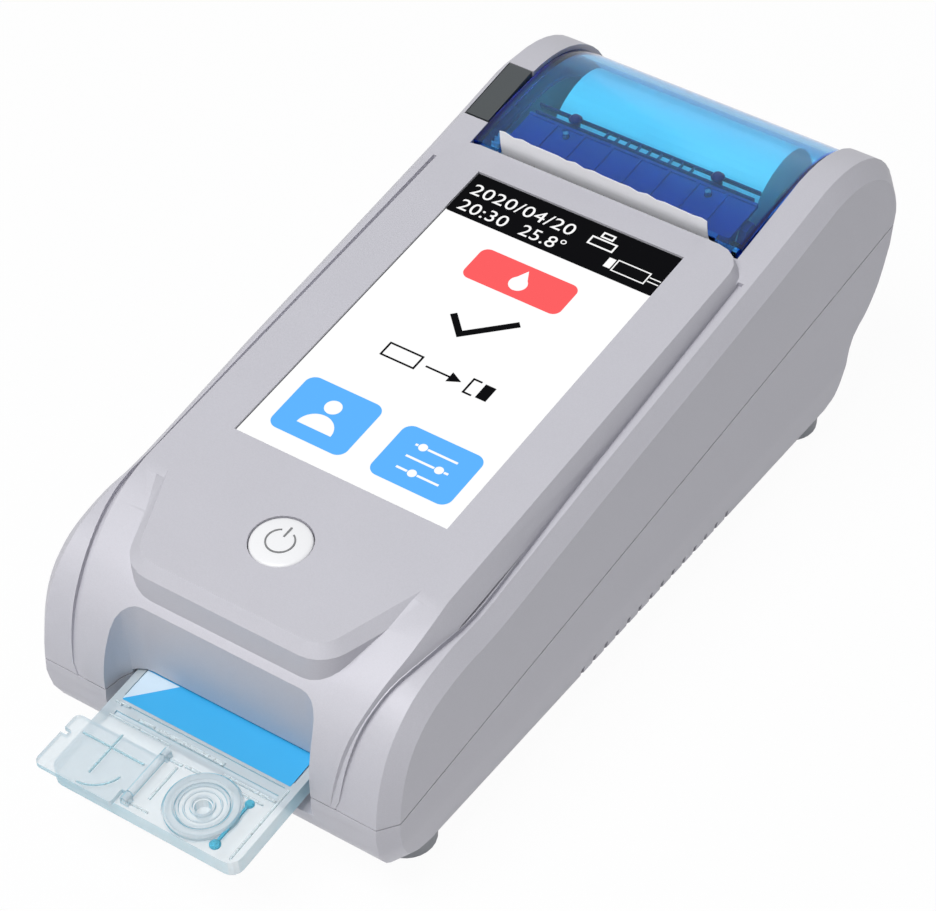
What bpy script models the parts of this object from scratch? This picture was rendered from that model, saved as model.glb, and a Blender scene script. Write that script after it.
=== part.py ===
"""Portable blood gas analyzer with a card slot, a touch screen and a strip printer.

The sloping top face is the deck. Most pieces are modelled square to it, in the deck's own frame: X to
the right, Y towards the printer, Z out of the deck, with the origin at the middle of the screen. An
empty carries that frame, tilted over the floor. The feet and the battery are square to the floor.
"""
from math import atan2, cos, hypot, pi, radians, sin, sqrt

import bmesh
import bpy
from mathutils import Matrix, Vector

# Stance over the floor
DECK_TILT = radians(7.05)
SCREEN_HEIGHT = 0.07445
FOOT_HEIGHT = 0.006

# Fits
TOUCH_GAP = 0.0003
SLIDE_GAP = 0.0003

# Screen
SCREEN_WIDTH = 0.0570
SCREEN_LENGTH = 0.0980
GLASS_BORDER = 0.0020
GLASS_THICKNESS = 0.0011
GLASS_RECESS = 0.0006
DISPLAY_THICKNESS = 0.0036

# Widths across the printer, from the paper outwards
PAPER_WIDTH = 0.0575
PAPER_SIDE_ROOM = 0.00215
FRAME_INNER_HALF_WIDTH = PAPER_WIDTH / 2 + PAPER_SIDE_ROOM
FRAME_WALL = 0.0018
DRIVE_ROOM = 0.0069
BAY_HALF_WIDTH = FRAME_INNER_HALF_WIDTH + DRIVE_ROOM
BAY_WALL = 0.0020
SHOULDER_WIDTH = 0.0071
EDGE_WIDTH = 0.0034
CROWN_HALF_WIDTH = BAY_HALF_WIDTH + SHOULDER_WIDTH
CASE_HALF_WIDTH = CROWN_HALF_WIDTH + EDGE_WIDTH

# Housing
EDGE_RUN = 0.0042
CASE_WALL = 0.0022
SEAM_DEPTH = 0.0345
TAIL_REACH = 0.0355
TAIL_DEPTH = 0.0310
TAPER_HEIGHT = 0.021
TAPER_SLOPE = 0.12

# Raised deck and its tongue over the card
RAIL_WIDTH = 0.0047
DECK_HALF_WIDTH = CROWN_HALF_WIDTH - RAIL_WIDTH
DECK_REAR_MARGIN = 0.0080
DECK_REAR = SCREEN_LENGTH / 2 + DECK_REAR_MARGIN
DECK_FLAT_FRONT = -0.0660
DECK_CORNER = 0.0070
DECK_RISE = 0.0060
DECK_FLARE = 0.49
TONGUE_SIDE = 0.0075
TONGUE_HALF_WIDTH = DECK_HALF_WIDTH - TONGUE_SIDE
TONGUE_NARROWING = 0.0081
TONGUE_FRONT_HALF_WIDTH = TONGUE_HALF_WIDTH - TONGUE_NARROWING
TONGUE_START = -0.0686
TONGUE_FRONT = -0.0900
TONGUE_CORNER = 0.0065
TONGUE_CHAMFER = 0.0026
TONGUE_DEPTH = 0.0130
TONGUE_OVERLAP = 0.0020
NOTCH_LENGTH = 0.0110
NOTCH_SLOPE_WIDTH = 0.0040
GROOVE_WIDTH = 0.0015
GROOVE_DEPTH = 0.0013
GROOVE_FADE_POINTS = 10

# Side views of the housing: the crown's nose and the deck's nose in the deck's frame, the rest over the floor
HUMP_REACH = 0.0290
HUMP_Y = DECK_REAR + HUMP_REACH
HUMP_DROP = 0.0012
CROWN_MIDDLE = ((0.0200, -0.0040), (-0.0200, -0.0050))
CROWN_NOSE = ((-0.0580, -0.0068), (-0.0720, -0.0058), (-0.0840, -0.0070), (-0.0915, -0.0104),
              (-0.0968, -0.0154), (-0.1004, -0.0222), (-0.1026, -0.0300), (-0.1036, -0.0380))
CROWN_REAR_DROP = 0.0029
DECK_NOSE = ((-0.0732, -0.0014, 0.0), (-0.0800, -0.0036, 0.0006), (-0.0872, -0.0066, 0.0019),
             (-0.0930, -0.0103, 0.0031), (-0.0979, -0.0152, 0.0044), (-0.1012, -0.0220, 0.0055),
             (-0.1029, -0.0290, 0.0064), (-0.1033, -0.0345, 0.0072))
FLOOR_NOSE = ((-0.0966, 0.0180), (-0.0925, 0.0115), (-0.0865, 0.0074), (-0.0800, FOOT_HEIGHT))
REAR_FOOT_REACH = 0.0390
REAR_FOOT_Y = DECK_REAR + REAR_FOOT_REACH
FLOOR_TAIL = ((0.0, FOOT_HEIGHT), (0.0065, 0.0085), (0.0095, 0.0140), (0.0105, 0.0210), (0.0118, 0.0262),
              (0.0170, 0.0298), (0.0230, 0.0370), (0.0272, 0.0478))

# Power button and its switch
BUTTON_Y = -0.0706
BUTTON_RADIUS = 0.0071
BUTTON_CROWN = 0.0005
BUTTON_TRAVEL = 0.0007
BUTTON_FLANGE = 0.0013
BUTTON_FLANGE_THICKNESS = 0.0012
BUTTON_STEM_RADIUS = 0.0024
BUTTON_STEM_LENGTH = 0.0030
SWITCH_SIZE = 0.0060
SWITCH_HEIGHT = 0.0025
PLUNGER_RADIUS = 0.0015
PLUNGER_LENGTH = 0.0020
PLUNGER_SINK = 0.0008
KEY_BOARD_THICKNESS = 0.0010
KEY_BOARD_HALF_WIDTH = 0.0160
KEY_BOARD_HALF_LENGTH = 0.0070
KEY_SCREW_X = 0.0125

# Sensor card
CARD_WIDTH = 0.0500
CARD_LENGTH = 0.0760
CARD_THICKNESS = 0.0044
CARD_TOP = -0.0340
CARD_FRONT = -0.1270
CARD_REAR = CARD_FRONT + CARD_LENGTH
CARD_CORNER = 0.0030
LABEL_SIDE_MARGIN = 0.0022
LABEL_WIDTH = CARD_WIDTH - LABEL_SIDE_MARGIN * 2
LABEL_LENGTH = 0.0310
LABEL_THICKNESS = 0.0002
LABEL_FRONT = -0.1020
LABEL_RECESS = 0.0004
CHANNEL_PITCH = 0.0024
CHANNEL_START = 0.0028
CHANNEL_WIDTH = 0.0010
CHANNEL_DEPTH = 0.0006
CHANNEL_MARGIN = 0.0030
SAMPLE_CHANNEL_X = 0.0175
SAMPLE_CHANNEL_WIDTH = 0.0020
SAMPLE_CHANNEL_DEPTH = 0.0010
PORT_X = 0.0100
PORT_Y = -0.1178
PORT_RADIUS = 0.0087
PORT_RISE = 0.0011
PORT_HOLE_RADIUS = 0.0019
PORT_HOLE_DEPTH = 0.0025
SEAL_WIDTH = 0.0025
SEAL_SEAT = 0.0007
SEAL_EDGE = 0.0005
CAP_WIDTH = 0.0232
CAP_LENGTH = 0.0155
CAP_THICKNESS = 0.0014
CAP_HINGE_X = -0.0046
CAP_FRONT = -0.1283
CAP_HINGE_CLEARANCE = 0.0022
CAP_CORNER = 0.0015
CAP_NOTCH_DEPTH = 0.0016
CAP_NOTCH_START = 0.0060
CAP_NOTCH_END = 0.0045
CARD_HINGE_RADIUS = 0.0005
CARD_LUG_RADIUS = 0.0010
CARD_LUG_LENGTH = 0.0020
CARD_HINGE_RISE = 0.0016

# Recess round the card slot
SCOOP_HALF_WIDTH = 0.0262
SCOOP_MOUTH_HALF_WIDTH = 0.0300
SCOOP_BACK = -0.0943
SCOOP_FRONT = -0.1150
SCOOP_CORNER = 0.0060
SCOOP_FLOOR = -0.0415

# Paper and printer
PAPER_THICKNESS = 0.0002
PAPER_STAND = 0.0050
PAPER_EXIT_Y = DECK_REAR + 0.0018
TEAR_BAR_OFFSET = 0.0010
ROLL_RADIUS = 0.0165
ROLL_CORE = 0.0060
ROLL_CORE_WALL = 0.0012
ROLL_Y = DECK_REAR + 0.0365
ROLL_Z = -0.0222
PLATEN_Y = DECK_REAR + 0.0092
PLATEN_Z = -0.0110
PLATEN_RADIUS = 0.0041
PLATEN_SHAFT = 0.0013
PLATEN_PAPER_GAP = 0.0004
PLATEN_LENGTH = PAPER_WIDTH - 0.0005
GEAR_MODULE = 0.0005
GEAR_WIDTH = 0.0022
GEAR_SIDE_GAP = 0.0005
PINION_TEETH = 12
IDLER_TEETH = 28
PLATEN_TEETH = 20
TOOTH_ROOT_SHARE = 0.275
TOOTH_TIP_SHARE = 0.085
MOTOR_RADIUS = 0.0063
MOTOR_LENGTH = 0.0120
MOTOR_DROP = 0.0201
MOTOR_EDGE = 0.0006
MOTOR_SHAFT_RADIUS = 0.0008
MOTOR_SHAFT_BORE = 0.0020
MOTOR_BOSS_RADIUS = 0.0020
IDLER_SHAFT_RADIUS = 0.0012
IDLER_HEAD_RADIUS = 0.0021
IDLER_HEAD_THICKNESS = 0.0006
BUSHING_RADIUS = 0.0022
BUSHING_WIDTH = 0.0018
FRAME_FRONT = DECK_REAR - 0.0050
FRAME_TOP = -0.0078
FRAME_FLOOR = -0.0230
FRAME_BOTTOM = -0.0412
TROUGH_TOP = -0.0160
TROUGH_LIP_DROP = 0.0042
TROUGH_GAP = 0.0004
TROUGH_WALL = 0.0014
FRAME_EAR_SIZE = 0.0060
FRAME_EAR_THICKNESS = 0.0020
FRONT_EAR_Y = DECK_REAR + 0.0140
REAR_EAR_Y = DECK_REAR + 0.0450
EAR_TOP = -0.0363
POST_RADIUS = 0.0026
SLOT_SLOPE = radians(28.0)
HEAD_HALF_WIDTH = PAPER_WIDTH / 2 + 0.00075
HEAD_THICKNESS = 0.0012
HEAD_TOP = -0.0085
HEAD_BOTTOM = -0.0155
HEAD_PLATE_THICKNESS = 0.0014
HEAD_PLATE_TOP = -0.0050
HEAD_SPRING_RADIUS = 0.0017
HEAD_SPRING_WIRE = 0.00035
HEAD_SPRING_TURNS = 4
HEAD_SPRING_X = 0.0150
HEAD_SPRING_Z = -0.0135
TEAR_BAR_THICKNESS = 0.0005
TEAR_BAR_TOP = -0.0009
TEAR_TOOTH_PITCH = 0.0015
TEAR_TOOTH_HEIGHT = 0.0009
BRACKET_THICKNESS = 0.0009
BRACKET_RIB = 0.0005
BRACKET_RIB_HALF_WIDTH = 0.0004
BRACKET_RIB_PITCH = 0.0080
BRACKET_HALF_WIDTH = FRAME_INNER_HALF_WIDTH + 0.0011
BRACKET_REAR = DECK_REAR + 0.0200
BRACKET_EAR = 0.0012
BRACKET_SCREW_X = 0.0200
BRACKET_SCREW_Y = DECK_REAR + 0.0170

# Printer cover
COVER_WALL = 0.0018
COVER_FRONT = DECK_REAR + 0.0030
COVER_FRONT_DROP = 0.0022
COVER_FLAT = 0.0120
COVER_FLAT_DROP = 0.0017
COVER_SINK = 0.0014
COVER_FLANGE = 0.0070
COVER_FLANGE_WALL = 0.0014
COVER_SIDE_GAP = 0.0004
PAPER_NOTCH = 0.0018
HINGE_Y = DECK_REAR + 0.0585
HINGE_Z = -0.0255
HINGE_PIN_RADIUS = 0.0012
HINGE_PIN_REACH = BAY_HALF_WIDTH + 0.0018
KNUCKLE_RADIUS = 0.0031
KNUCKLE_LENGTH = 0.0110

# Release lever on the left shoulder
LEVER_FRONT = DECK_REAR + 0.0104
LEVER_REAR = DECK_REAR + 0.0299
LEVER_WALL = 0.0020
LEVER_FRONT_GAP = 0.0005
LEVER_PIN_RADIUS = 0.0009
LEVER_PIN_Y = DECK_REAR + 0.0265
LEVER_PIN_DEPTH = 0.0062
LEVER_PIN_END = 0.0014
LEVER_LUG_RADIUS = 0.0024

# Floor side
FOOT_RADIUS = 0.0074
FOOT_EDGE = 0.0012
FOOT_STEM_RADIUS = 0.0020
FOOT_INSET = 0.0113
FOOT_X = CASE_HALF_WIDTH - FOOT_INSET
FRONT_FOOT_Y = -0.0755
SCREW_HEAD_RADIUS = 0.0026
SCREW_HEAD_HEIGHT = 0.0018
SCREW_RADIUS = 0.0013
SCREW_BITE = 0.0090
SCREW_SEAT = 0.0040
HEAD_GAP = 0.0002
BOSS_RADIUS = 0.0046
UPPER_BOSS_RADIUS = 0.0034
FRONT_BOSS_HEIGHT = 0.0400
REAR_BOSS_HEIGHT = 0.0150
SCREW_INSET = 0.0083
SCREW_X = CASE_HALF_WIDTH - SCREW_INSET
FRONT_SCREW_Y = -0.0550
REAR_SCREW_Y = DECK_REAR + 0.0055
BATTERY_WIDTH = 0.0380
BATTERY_LENGTH = 0.0700
BATTERY_HEIGHT = 0.0190
BATTERY_Y = -0.0050
WELL_WALL = 0.0020
WELL_HEIGHT = 0.0080
WELL_SINK = 0.0005
DOOR_LIP = 0.0015
DOOR_THICKNESS = 0.0018
DOOR_TAB = 0.0110
DOOR_SCREW_REACH = 0.0050
DOOR_GRIP_X = 0.01045
DOOR_GRIP_HALF_WIDTH = 0.0045
VENT_COUNT = 14
VENT_PITCH = 0.0050
VENT_START = -0.0185
VENT_Z = 0.0110
VENT_HEIGHT = 0.0028
VENT_WIDTH = 0.0013
VENT_REACH = 0.0040

# Boards and blocks inside
BOARD_INSET = 0.0052
BOARD_HALF_WIDTH = DECK_HALF_WIDTH - BOARD_INSET
BOARD_FRONT = -SCREEN_LENGTH / 2 - 0.0030
BOARD_REAR = SCREEN_LENGTH / 2 - 0.0010
BOARD_THICKNESS = 0.0016
BOARD_DEPTH = 0.0062
BOARD_CHIPS = ((0.0, 0.0, 0.0075, 0.0016), (-0.0200, 0.0200, 0.0050, 0.0012),
               (0.0180, -0.0240, 0.0045, 0.0030), (0.0200, 0.0260, 0.0060, 0.0022))
STANDOFF_RADIUS = 0.0020
BOARD_SCREW_INSET = 0.0020
BOARD_SCREW_X = BOARD_HALF_WIDTH - BOARD_SCREW_INSET
BOARD_SCREW_END = 0.0040
BOARD_SCREW_RADIUS = 0.0007
BOARD_SCREW_DEPTH = 0.0028
BOARD_SCREW_HEAD = 0.0015
BOARD_SCREW_HEAD_HEIGHT = 0.0009
JACK_Y = 0.0300
JACK_Z = -0.0440
JACK_RADIUS = 0.0032
JACK_SIZE = 0.0095
JACK_LENGTH = 0.0110
JACK_SHELF = 0.0022
GUIDE_WALL = 0.0020
GUIDE_REAR = CARD_REAR + GUIDE_WALL
GUIDE_FRONT = -0.0900
GUIDE_RAIL = 0.0025
GUIDE_POST_INSET = 0.0060
CONTACT_LENGTH = 0.0090
HEATER_REAR = GUIDE_REAR - CONTACT_LENGTH
HEATER_HEIGHT = 0.0060
HEATER_GROOVE_PITCH = 0.0090
HEATER_GROOVE_HALF_WIDTH = 0.0015

SMOOTH_ANGLE = radians(32.0)


def to_deck(y, z):
    """Side-view point over the floor (z from the floor) to the deck's frame."""
    rise = z - SCREEN_HEIGHT
    return (y * cos(DECK_TILT) + rise * sin(DECK_TILT), rise * cos(DECK_TILT) - y * sin(DECK_TILT))


def to_floor(y, z):
    """Side-view point in the deck's frame to the floor's."""
    return (y * cos(DECK_TILT) - z * sin(DECK_TILT),
            y * sin(DECK_TILT) + z * cos(DECK_TILT) + SCREEN_HEIGHT)


# Outlines

def smooth_path(points, steps=4):
    """A smooth curve through the points, as a list of points."""
    path = []
    count = len(points)
    for index in range(count - 1):
        before = Vector(points[max(index - 1, 0)])
        start = Vector(points[index])
        end = Vector(points[index + 1])
        after = Vector(points[min(index + 2, count - 1)])
        for step in range(steps):
            t = step / steps
            path.append(tuple(0.5 * (2 * start + (end - before) * t
                                     + (2 * before - 5 * start + 4 * end - after) * t * t
                                     + (3 * start - before - 3 * end + after) * t ** 3)))
    path.append(tuple(points[-1]))
    return path


def ellipse_arc(center, radii, start, end, steps):
    """Points along an ellipse; angles from the first axis."""
    return [(center[0] + radii[0] * cos(start + (end - start) * step / steps),
             center[1] + radii[1] * sin(start + (end - start) * step / steps))
            for step in range(steps + 1)]


def rounded_corners(corners, steps=5):
    """A closed outline from (x, y, radius) corners, each with its fillet."""
    outline = []
    count = len(corners)
    for index in range(count):
        x, y, radius = corners[index]
        here = Vector((x, y))
        to_before = Vector(corners[index - 1][:2]) - here
        to_after = Vector(corners[(index + 1) % count][:2]) - here
        if radius <= 0:
            outline.append((x, y))
            continue
        half = to_before.angle(to_after) / 2
        reach = radius / abs(sin(half) / cos(half))
        middle = here + (to_before.normalized() + to_after.normalized()).normalized() * (radius / sin(half))
        first = here + to_before.normalized() * reach - middle
        last = here + to_after.normalized() * reach - middle
        turn = atan2(first.x * last.y - first.y * last.x, first.dot(last))
        for step in range(steps + 1):
            spoke = first.copy()
            spoke.rotate(Matrix.Rotation(turn * step / steps, 2))
            outline.append(tuple(middle + spoke))
    return outline


def inset_outline(outline, distance):
    """The same closed outline moved inwards; the points run anticlockwise."""
    moved = []
    count = len(outline)
    for index in range(count):
        before = Vector(outline[index - 1])
        here = Vector(outline[index])
        after = Vector(outline[(index + 1) % count])
        into = (here - before).normalized()
        out = (after - here).normalized()
        normal = Vector((-(into.y + out.y), into.x + out.x)).normalized()
        stretch = max(normal.dot(Vector((-into.y, into.x))), 0.5)
        moved.append(tuple(here + normal * (distance / stretch)))
    return moved


def crown_path():
    """Side view of the housing's top, from the hump down to the nose."""
    return smooth_path([(HUMP_Y, -HUMP_DROP), (DECK_REAR, -CROWN_REAR_DROP), *CROWN_MIDDLE, *CROWN_NOSE], 3)


def tail_path():
    """Side view of the housing's rounded tail, from its rearmost point up to the hump."""
    center = (HUMP_Y, -TAIL_DEPTH)
    return ellipse_arc(center, (TAIL_REACH, TAIL_DEPTH - HUMP_DROP), 0, pi / 2, 12)[:-1]


def floor_path():
    """Side view of the underside, from the nose to the tail, given over the floor."""
    front = smooth_path(FLOOR_NOSE, 3)
    rear = smooth_path([(REAR_FOOT_Y + y, z) for y, z in FLOOR_TAIL], 3)
    return [to_deck(y, z) for y, z in front + rear]


def case_outline():
    """The housing's whole side view, anticlockwise seen from the right."""
    return floor_path() + tail_path() + crown_path()


def deck_stations():
    """Side view of the raised deck with its half width at each point, from the printer to the nose."""
    corner = [(DECK_REAR - DECK_CORNER * (1 - cos(pi / 2 * step / 4)), 0.0,
               DECK_HALF_WIDTH - DECK_CORNER * (1 - sin(pi / 2 * step / 4))) for step in range(5)]
    nose = [(y, z, DECK_HALF_WIDTH - narrowing) for y, z, narrowing in DECK_NOSE]
    front = smooth_path([(DECK_FLAT_FRONT, 0.0, DECK_HALF_WIDTH), *nose], 3)
    return corner + [(0.0, 0.0, DECK_HALF_WIDTH)] + front


# Scene, materials and mesh helpers

for leftover in list(bpy.data.objects):
    bpy.data.objects.remove(leftover, do_unlink=True)

scene_root = bpy.context.scene.collection
parts = bpy.data.collections.new("blood_gas_analyzer")
cutters = bpy.data.collections.new("cutters")
scene_root.children.link(parts)
scene_root.children.link(cutters)

REAR_REACH = max(to_floor(y, z)[0] for y, z in case_outline())
FRONT_REACH = to_floor(CAP_FRONT, CARD_TOP + TOUCH_GAP + CAP_THICKNESS)[0]

floor_frame = bpy.data.objects.new("floor_frame", None)
floor_frame.location = (0, -(REAR_REACH + FRONT_REACH) / 2, 0)
parts.objects.link(floor_frame)
deck_frame = bpy.data.objects.new("deck_frame", None)
deck_frame.parent = floor_frame
deck_frame.location = (0, 0, SCREEN_HEIGHT)
deck_frame.rotation_euler = (DECK_TILT, 0, 0)
parts.objects.link(deck_frame)


def make_material(name, color, roughness, metallic=0.0, alpha=1.0):
    material = bpy.data.materials.new(name)
    material.use_nodes = True
    shader = material.node_tree.nodes["Principled BSDF"]
    shader.inputs["Base Color"].default_value = (*color, 1.0)
    shader.inputs["Roughness"].default_value = roughness
    shader.inputs["Metallic"].default_value = metallic
    shader.inputs["Alpha"].default_value = alpha
    material.diffuse_color = (*color, alpha)
    return material


COLORS = {
    "silver": ((0.55, 0.54, 0.58), 0.42, 0.15),
    "dark_grey": ((0.08, 0.09, 0.10), 0.45),
    "button_white": ((0.80, 0.80, 0.80), 0.35),
    "glass_black": ((0.02, 0.02, 0.03), 0.08),
    "display_grey": ((0.45, 0.46, 0.48), 0.40),
    "board_green": ((0.03, 0.22, 0.10), 0.55),
    "clear_aqua": ((0.60, 0.85, 0.90), 0.10, 0.0, 0.5),
    "label_blue": ((0.05, 0.45, 0.85), 0.45),
    "cover_blue": ((0.03, 0.25, 0.75), 0.12, 0.0, 0.5),
    "frame_blue": ((0.03, 0.10, 0.40), 0.35),
    "paper_white": ((0.90, 0.90, 0.88), 0.75),
    "rubber_black": ((0.03, 0.03, 0.03), 0.80),
    "rubber_grey": ((0.30, 0.31, 0.32), 0.75),
    "steel": ((0.60, 0.60, 0.60), 0.30, 1.0),
    "aluminium": ((0.75, 0.75, 0.76), 0.35, 1.0),
    "gear_white": ((0.82, 0.81, 0.76), 0.45),
    "black_plastic": ((0.04, 0.04, 0.045), 0.50),
    "ceramic": ((0.70, 0.70, 0.66), 0.40),
    "battery_wrap": ((0.05, 0.12, 0.30), 0.40),
}
MATERIALS = {}


def finish(thing, name, material, parent=deck_frame, origin=(0, 0, 0)):
    """Name a piece, give it its material and its place, with its origin where it turns."""
    if material not in MATERIALS:
        MATERIALS[material] = make_material(material, *COLORS[material])
    thing.name = name
    thing.data.name = name
    thing.data.materials.clear()
    thing.data.materials.append(MATERIALS[material])
    thing.data.transform(Matrix.Translation(-Vector(origin)))
    thing.location = origin
    thing.parent = parent
    thing.data.shade_smooth()
    thing.data.set_sharp_from_angle(angle=SMOOTH_ANGLE)
    parts.objects.link(thing)
    return thing


def as_cutter(thing, name, parent=deck_frame):
    """Keep a shape as a tool for Boolean modifiers only."""
    thing.name = name
    thing.parent = parent
    thing.hide_render = True
    thing.display_type = 'WIRE'
    cutters.objects.link(thing)
    return thing


def boolean(target, tool, operation='DIFFERENCE'):
    modifier = target.modifiers.new(operation.lower() + "_" + tool.name, 'BOOLEAN')
    modifier.operation = operation
    modifier.solver = 'EXACT'
    modifier.object = tool


def from_bmesh(mesh_edit):
    bmesh.ops.recalc_face_normals(mesh_edit, faces=mesh_edit.faces)
    mesh = bpy.data.meshes.new("shape")
    mesh_edit.to_mesh(mesh)
    mesh_edit.free()
    return bpy.data.objects.new("shape", mesh)


def loft(rings):
    """A closed solid through rings of equal length, capped at both ends."""
    edit = bmesh.new()
    rows = [[edit.verts.new(point) for point in ring] for ring in rings]
    count = len(rings[0])
    for row, next_row in zip(rows, rows[1:]):
        for index in range(count):
            follow = (index + 1) % count
            edit.faces.new((row[index], row[follow], next_row[follow], next_row[index]))
    edit.faces.new(rows[0])
    edit.faces.new(rows[-1])
    return from_bmesh(edit)


def flat_plate(outline, low, high):
    """A plate from a filled 2D curve, standing along Z from low to high."""
    curve = bpy.data.curves.new("outline", 'CURVE')
    curve.dimensions = '2D'
    curve.fill_mode = 'BOTH'
    curve.extrude = (high - low) / 2
    spline = curve.splines.new('POLY')
    spline.points.add(len(outline) - 1)
    spline.use_cyclic_u = True
    for point, (x, y) in zip(spline.points, outline):
        point.co = (x, y, 0, 1)
    guide = bpy.data.objects.new("outline", curve)
    scene_root.objects.link(guide)
    graph = bpy.context.evaluated_depsgraph_get()
    mesh = bpy.data.meshes.new_from_object(guide.evaluated_get(graph))
    bpy.data.objects.remove(guide, do_unlink=True)
    edit = bmesh.new()
    edit.from_mesh(mesh)
    bmesh.ops.remove_doubles(edit, verts=edit.verts, dist=0.000005)
    bmesh.ops.dissolve_limit(edit, angle_limit=0.0002, verts=edit.verts, edges=edit.edges)
    bmesh.ops.translate(edit, vec=(0, 0, (low + high) / 2), verts=edit.verts)
    return from_bmesh(edit)


def side_plate(outline, left, right):
    """A plate with a side-view outline, from left to right."""
    plate = flat_plate(outline, left, right)
    plate.data.transform(Matrix(((0, 0, 1, 0), (1, 0, 0, 0), (0, 1, 0, 0), (0, 0, 0, 1))))
    return plate


def front_plate(outline, front, rear):
    """A plate with a front-view outline, from front to rear."""
    plate = flat_plate(outline, 0, rear - front)
    plate.data.transform(Matrix(((1, 0, 0, 0), (0, 0, -1, rear), (0, 1, 0, 0), (0, 0, 0, 1))))
    return plate


def plan_plate(outline, bottom, top):
    """A plate with a plan-view outline, from bottom to top."""
    return flat_plate(outline, bottom, top)


def box(low, high, bevel=0.0):
    edit = bmesh.new()
    bmesh.ops.create_cube(edit, size=1.0)
    size = Vector(high) - Vector(low)
    bmesh.ops.scale(edit, vec=size, verts=edit.verts)
    bmesh.ops.translate(edit, vec=(Vector(high) + Vector(low)) / 2, verts=edit.verts)
    if bevel:
        bmesh.ops.bevel(edit, geom=edit.edges[:], offset=bevel, segments=1, affect='EDGES', profile=0.5)
    return from_bmesh(edit)


AXIS_TURNS = {
    'X': Matrix.Rotation(pi / 2, 4, 'Y'),
    'Y': Matrix.Rotation(-pi / 2, 4, 'X'),
    'Z': Matrix.Identity(4),
}


def cylinder(radius, start, end, center, axis='Z', segments=24, end_radius=None):
    """A cylinder or cone along an axis from start to end; center gives the other two values."""
    edit = bmesh.new()
    bmesh.ops.create_cone(edit, cap_ends=True, segments=segments, radius1=radius,
                          radius2=radius if end_radius is None else end_radius, depth=end - start)
    bmesh.ops.translate(edit, vec=(0, 0, (start + end) / 2), verts=edit.verts)
    edit.transform(AXIS_TURNS[axis])
    offset = {'X': (0, center[0], center[1]), 'Y': (center[0], 0, center[1]), 'Z': (center[0], center[1], 0)}
    bmesh.ops.translate(edit, vec=offset[axis], verts=edit.verts)
    return from_bmesh(edit)


def turned(profile, center, axis='Z', segments=32):
    """A turned solid from (radius, height) points that run down its outer side from the axis."""
    mesh = bpy.data.meshes.new("profile")
    mesh.from_pydata([(radius, 0, height) for radius, height in profile],
                     [(index, index + 1) for index in range(len(profile) - 1)], [])
    guide = bpy.data.objects.new("profile", mesh)
    scene_root.objects.link(guide)
    screw = guide.modifiers.new("turn", 'SCREW')
    screw.steps = segments
    screw.render_steps = segments
    screw.use_merge_vertices = True
    screw.merge_threshold = 0.00001
    graph = bpy.context.evaluated_depsgraph_get()
    solid = bpy.data.meshes.new_from_object(guide.evaluated_get(graph))
    bpy.data.objects.remove(guide, do_unlink=True)
    solid.transform(AXIS_TURNS[axis])
    solid.transform(Matrix.Translation(center))
    return bpy.data.objects.new("turned", solid)


def add_to(target, *things):
    """Join shapes to a piece as one solid."""
    for thing in things:
        boolean(target, as_cutter(thing, target.name + "_joined", target.parent), 'UNION')


def cut_from(target, *things):
    """Cut shapes out of a piece."""
    for thing in things:
        boolean(target, as_cutter(thing, target.name + "_cut", target.parent))


def group(*things):
    """One cutter that holds several separate shapes."""
    edit = bmesh.new()
    for thing in things:
        edit.from_mesh(thing.data)
    mesh = bpy.data.meshes.new("group")
    edit.to_mesh(mesh)
    edit.free()
    return bpy.data.objects.new("group", mesh)


def offset_path(path, distance):
    """An open side-view path moved to its left, seen along its run."""
    moved = []
    for index, (y, z) in enumerate(path):
        before = path[max(index - 1, 0)]
        after = path[min(index + 1, len(path) - 1)]
        along = Vector((after[0] - before[0], after[1] - before[1])).normalized()
        moved.append((y - along.y * distance, z + along.x * distance))
    return moved


def trimmed(thing, point, normal):
    """Cut away what lies behind a plane and close the cut."""
    edit = bmesh.new()
    edit.from_mesh(thing.data)
    geometry = edit.verts[:] + edit.edges[:] + edit.faces[:]
    cut = bmesh.ops.bisect_plane(edit, geom=geometry, dist=0.000001, plane_co=point, plane_no=normal,
                                 clear_inner=True)
    rim = [item for item in cut["geom_cut"] if isinstance(item, bmesh.types.BMEdge)]
    bmesh.ops.holes_fill(edit, edges=rim)
    bmesh.ops.recalc_face_normals(edit, faces=edit.faces)
    edit.to_mesh(thing.data)
    edit.free()
    return thing


def taper_sides(edit):
    """Draw the housing's sides in towards the floor, below the taper line."""
    line_y, line_z = to_deck(0, TAPER_HEIGHT)
    normal = Vector((0, sin(DECK_TILT), cos(DECK_TILT)))
    geometry = edit.verts[:] + edit.edges[:] + edit.faces[:]
    bmesh.ops.bisect_plane(edit, geom=geometry, dist=0.000001, plane_co=(0, line_y, line_z), plane_no=normal)
    for vertex in edit.verts:
        height = to_floor(vertex.co.y, vertex.co.z)[1]
        if height < TAPER_HEIGHT - 0.00001:
            shift = (TAPER_HEIGHT - height) * TAPER_SLOPE
            vertex.co.x -= shift if vertex.co.x > 0 else -shift


def case_solid(wall, keep=None, seam=0.0):
    """The housing's solid form, drawn in by a wall, kept whole or above or below the seam."""
    outline = case_outline()
    edge = EDGE_RUN + wall * 0.6
    crown_x = CROWN_HALF_WIDTH - wall * 0.6
    side_x = CASE_HALF_WIDTH - wall
    sections = ((-side_x, edge), (-crown_x, wall), (crown_x, wall), (side_x, edge))
    thing = loft([[(x, y, z) for y, z in inset_outline(outline, inset)] for x, inset in sections])
    edit = bmesh.new()
    edit.from_mesh(thing.data)
    taper_sides(edit)
    bmesh.ops.recalc_face_normals(edit, faces=edit.faces)
    edit.to_mesh(thing.data)
    edit.free()
    if keep:
        trimmed(thing, (0, 0, seam), (0, 0, 1 if keep == "above" else -1))
    return thing


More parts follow.
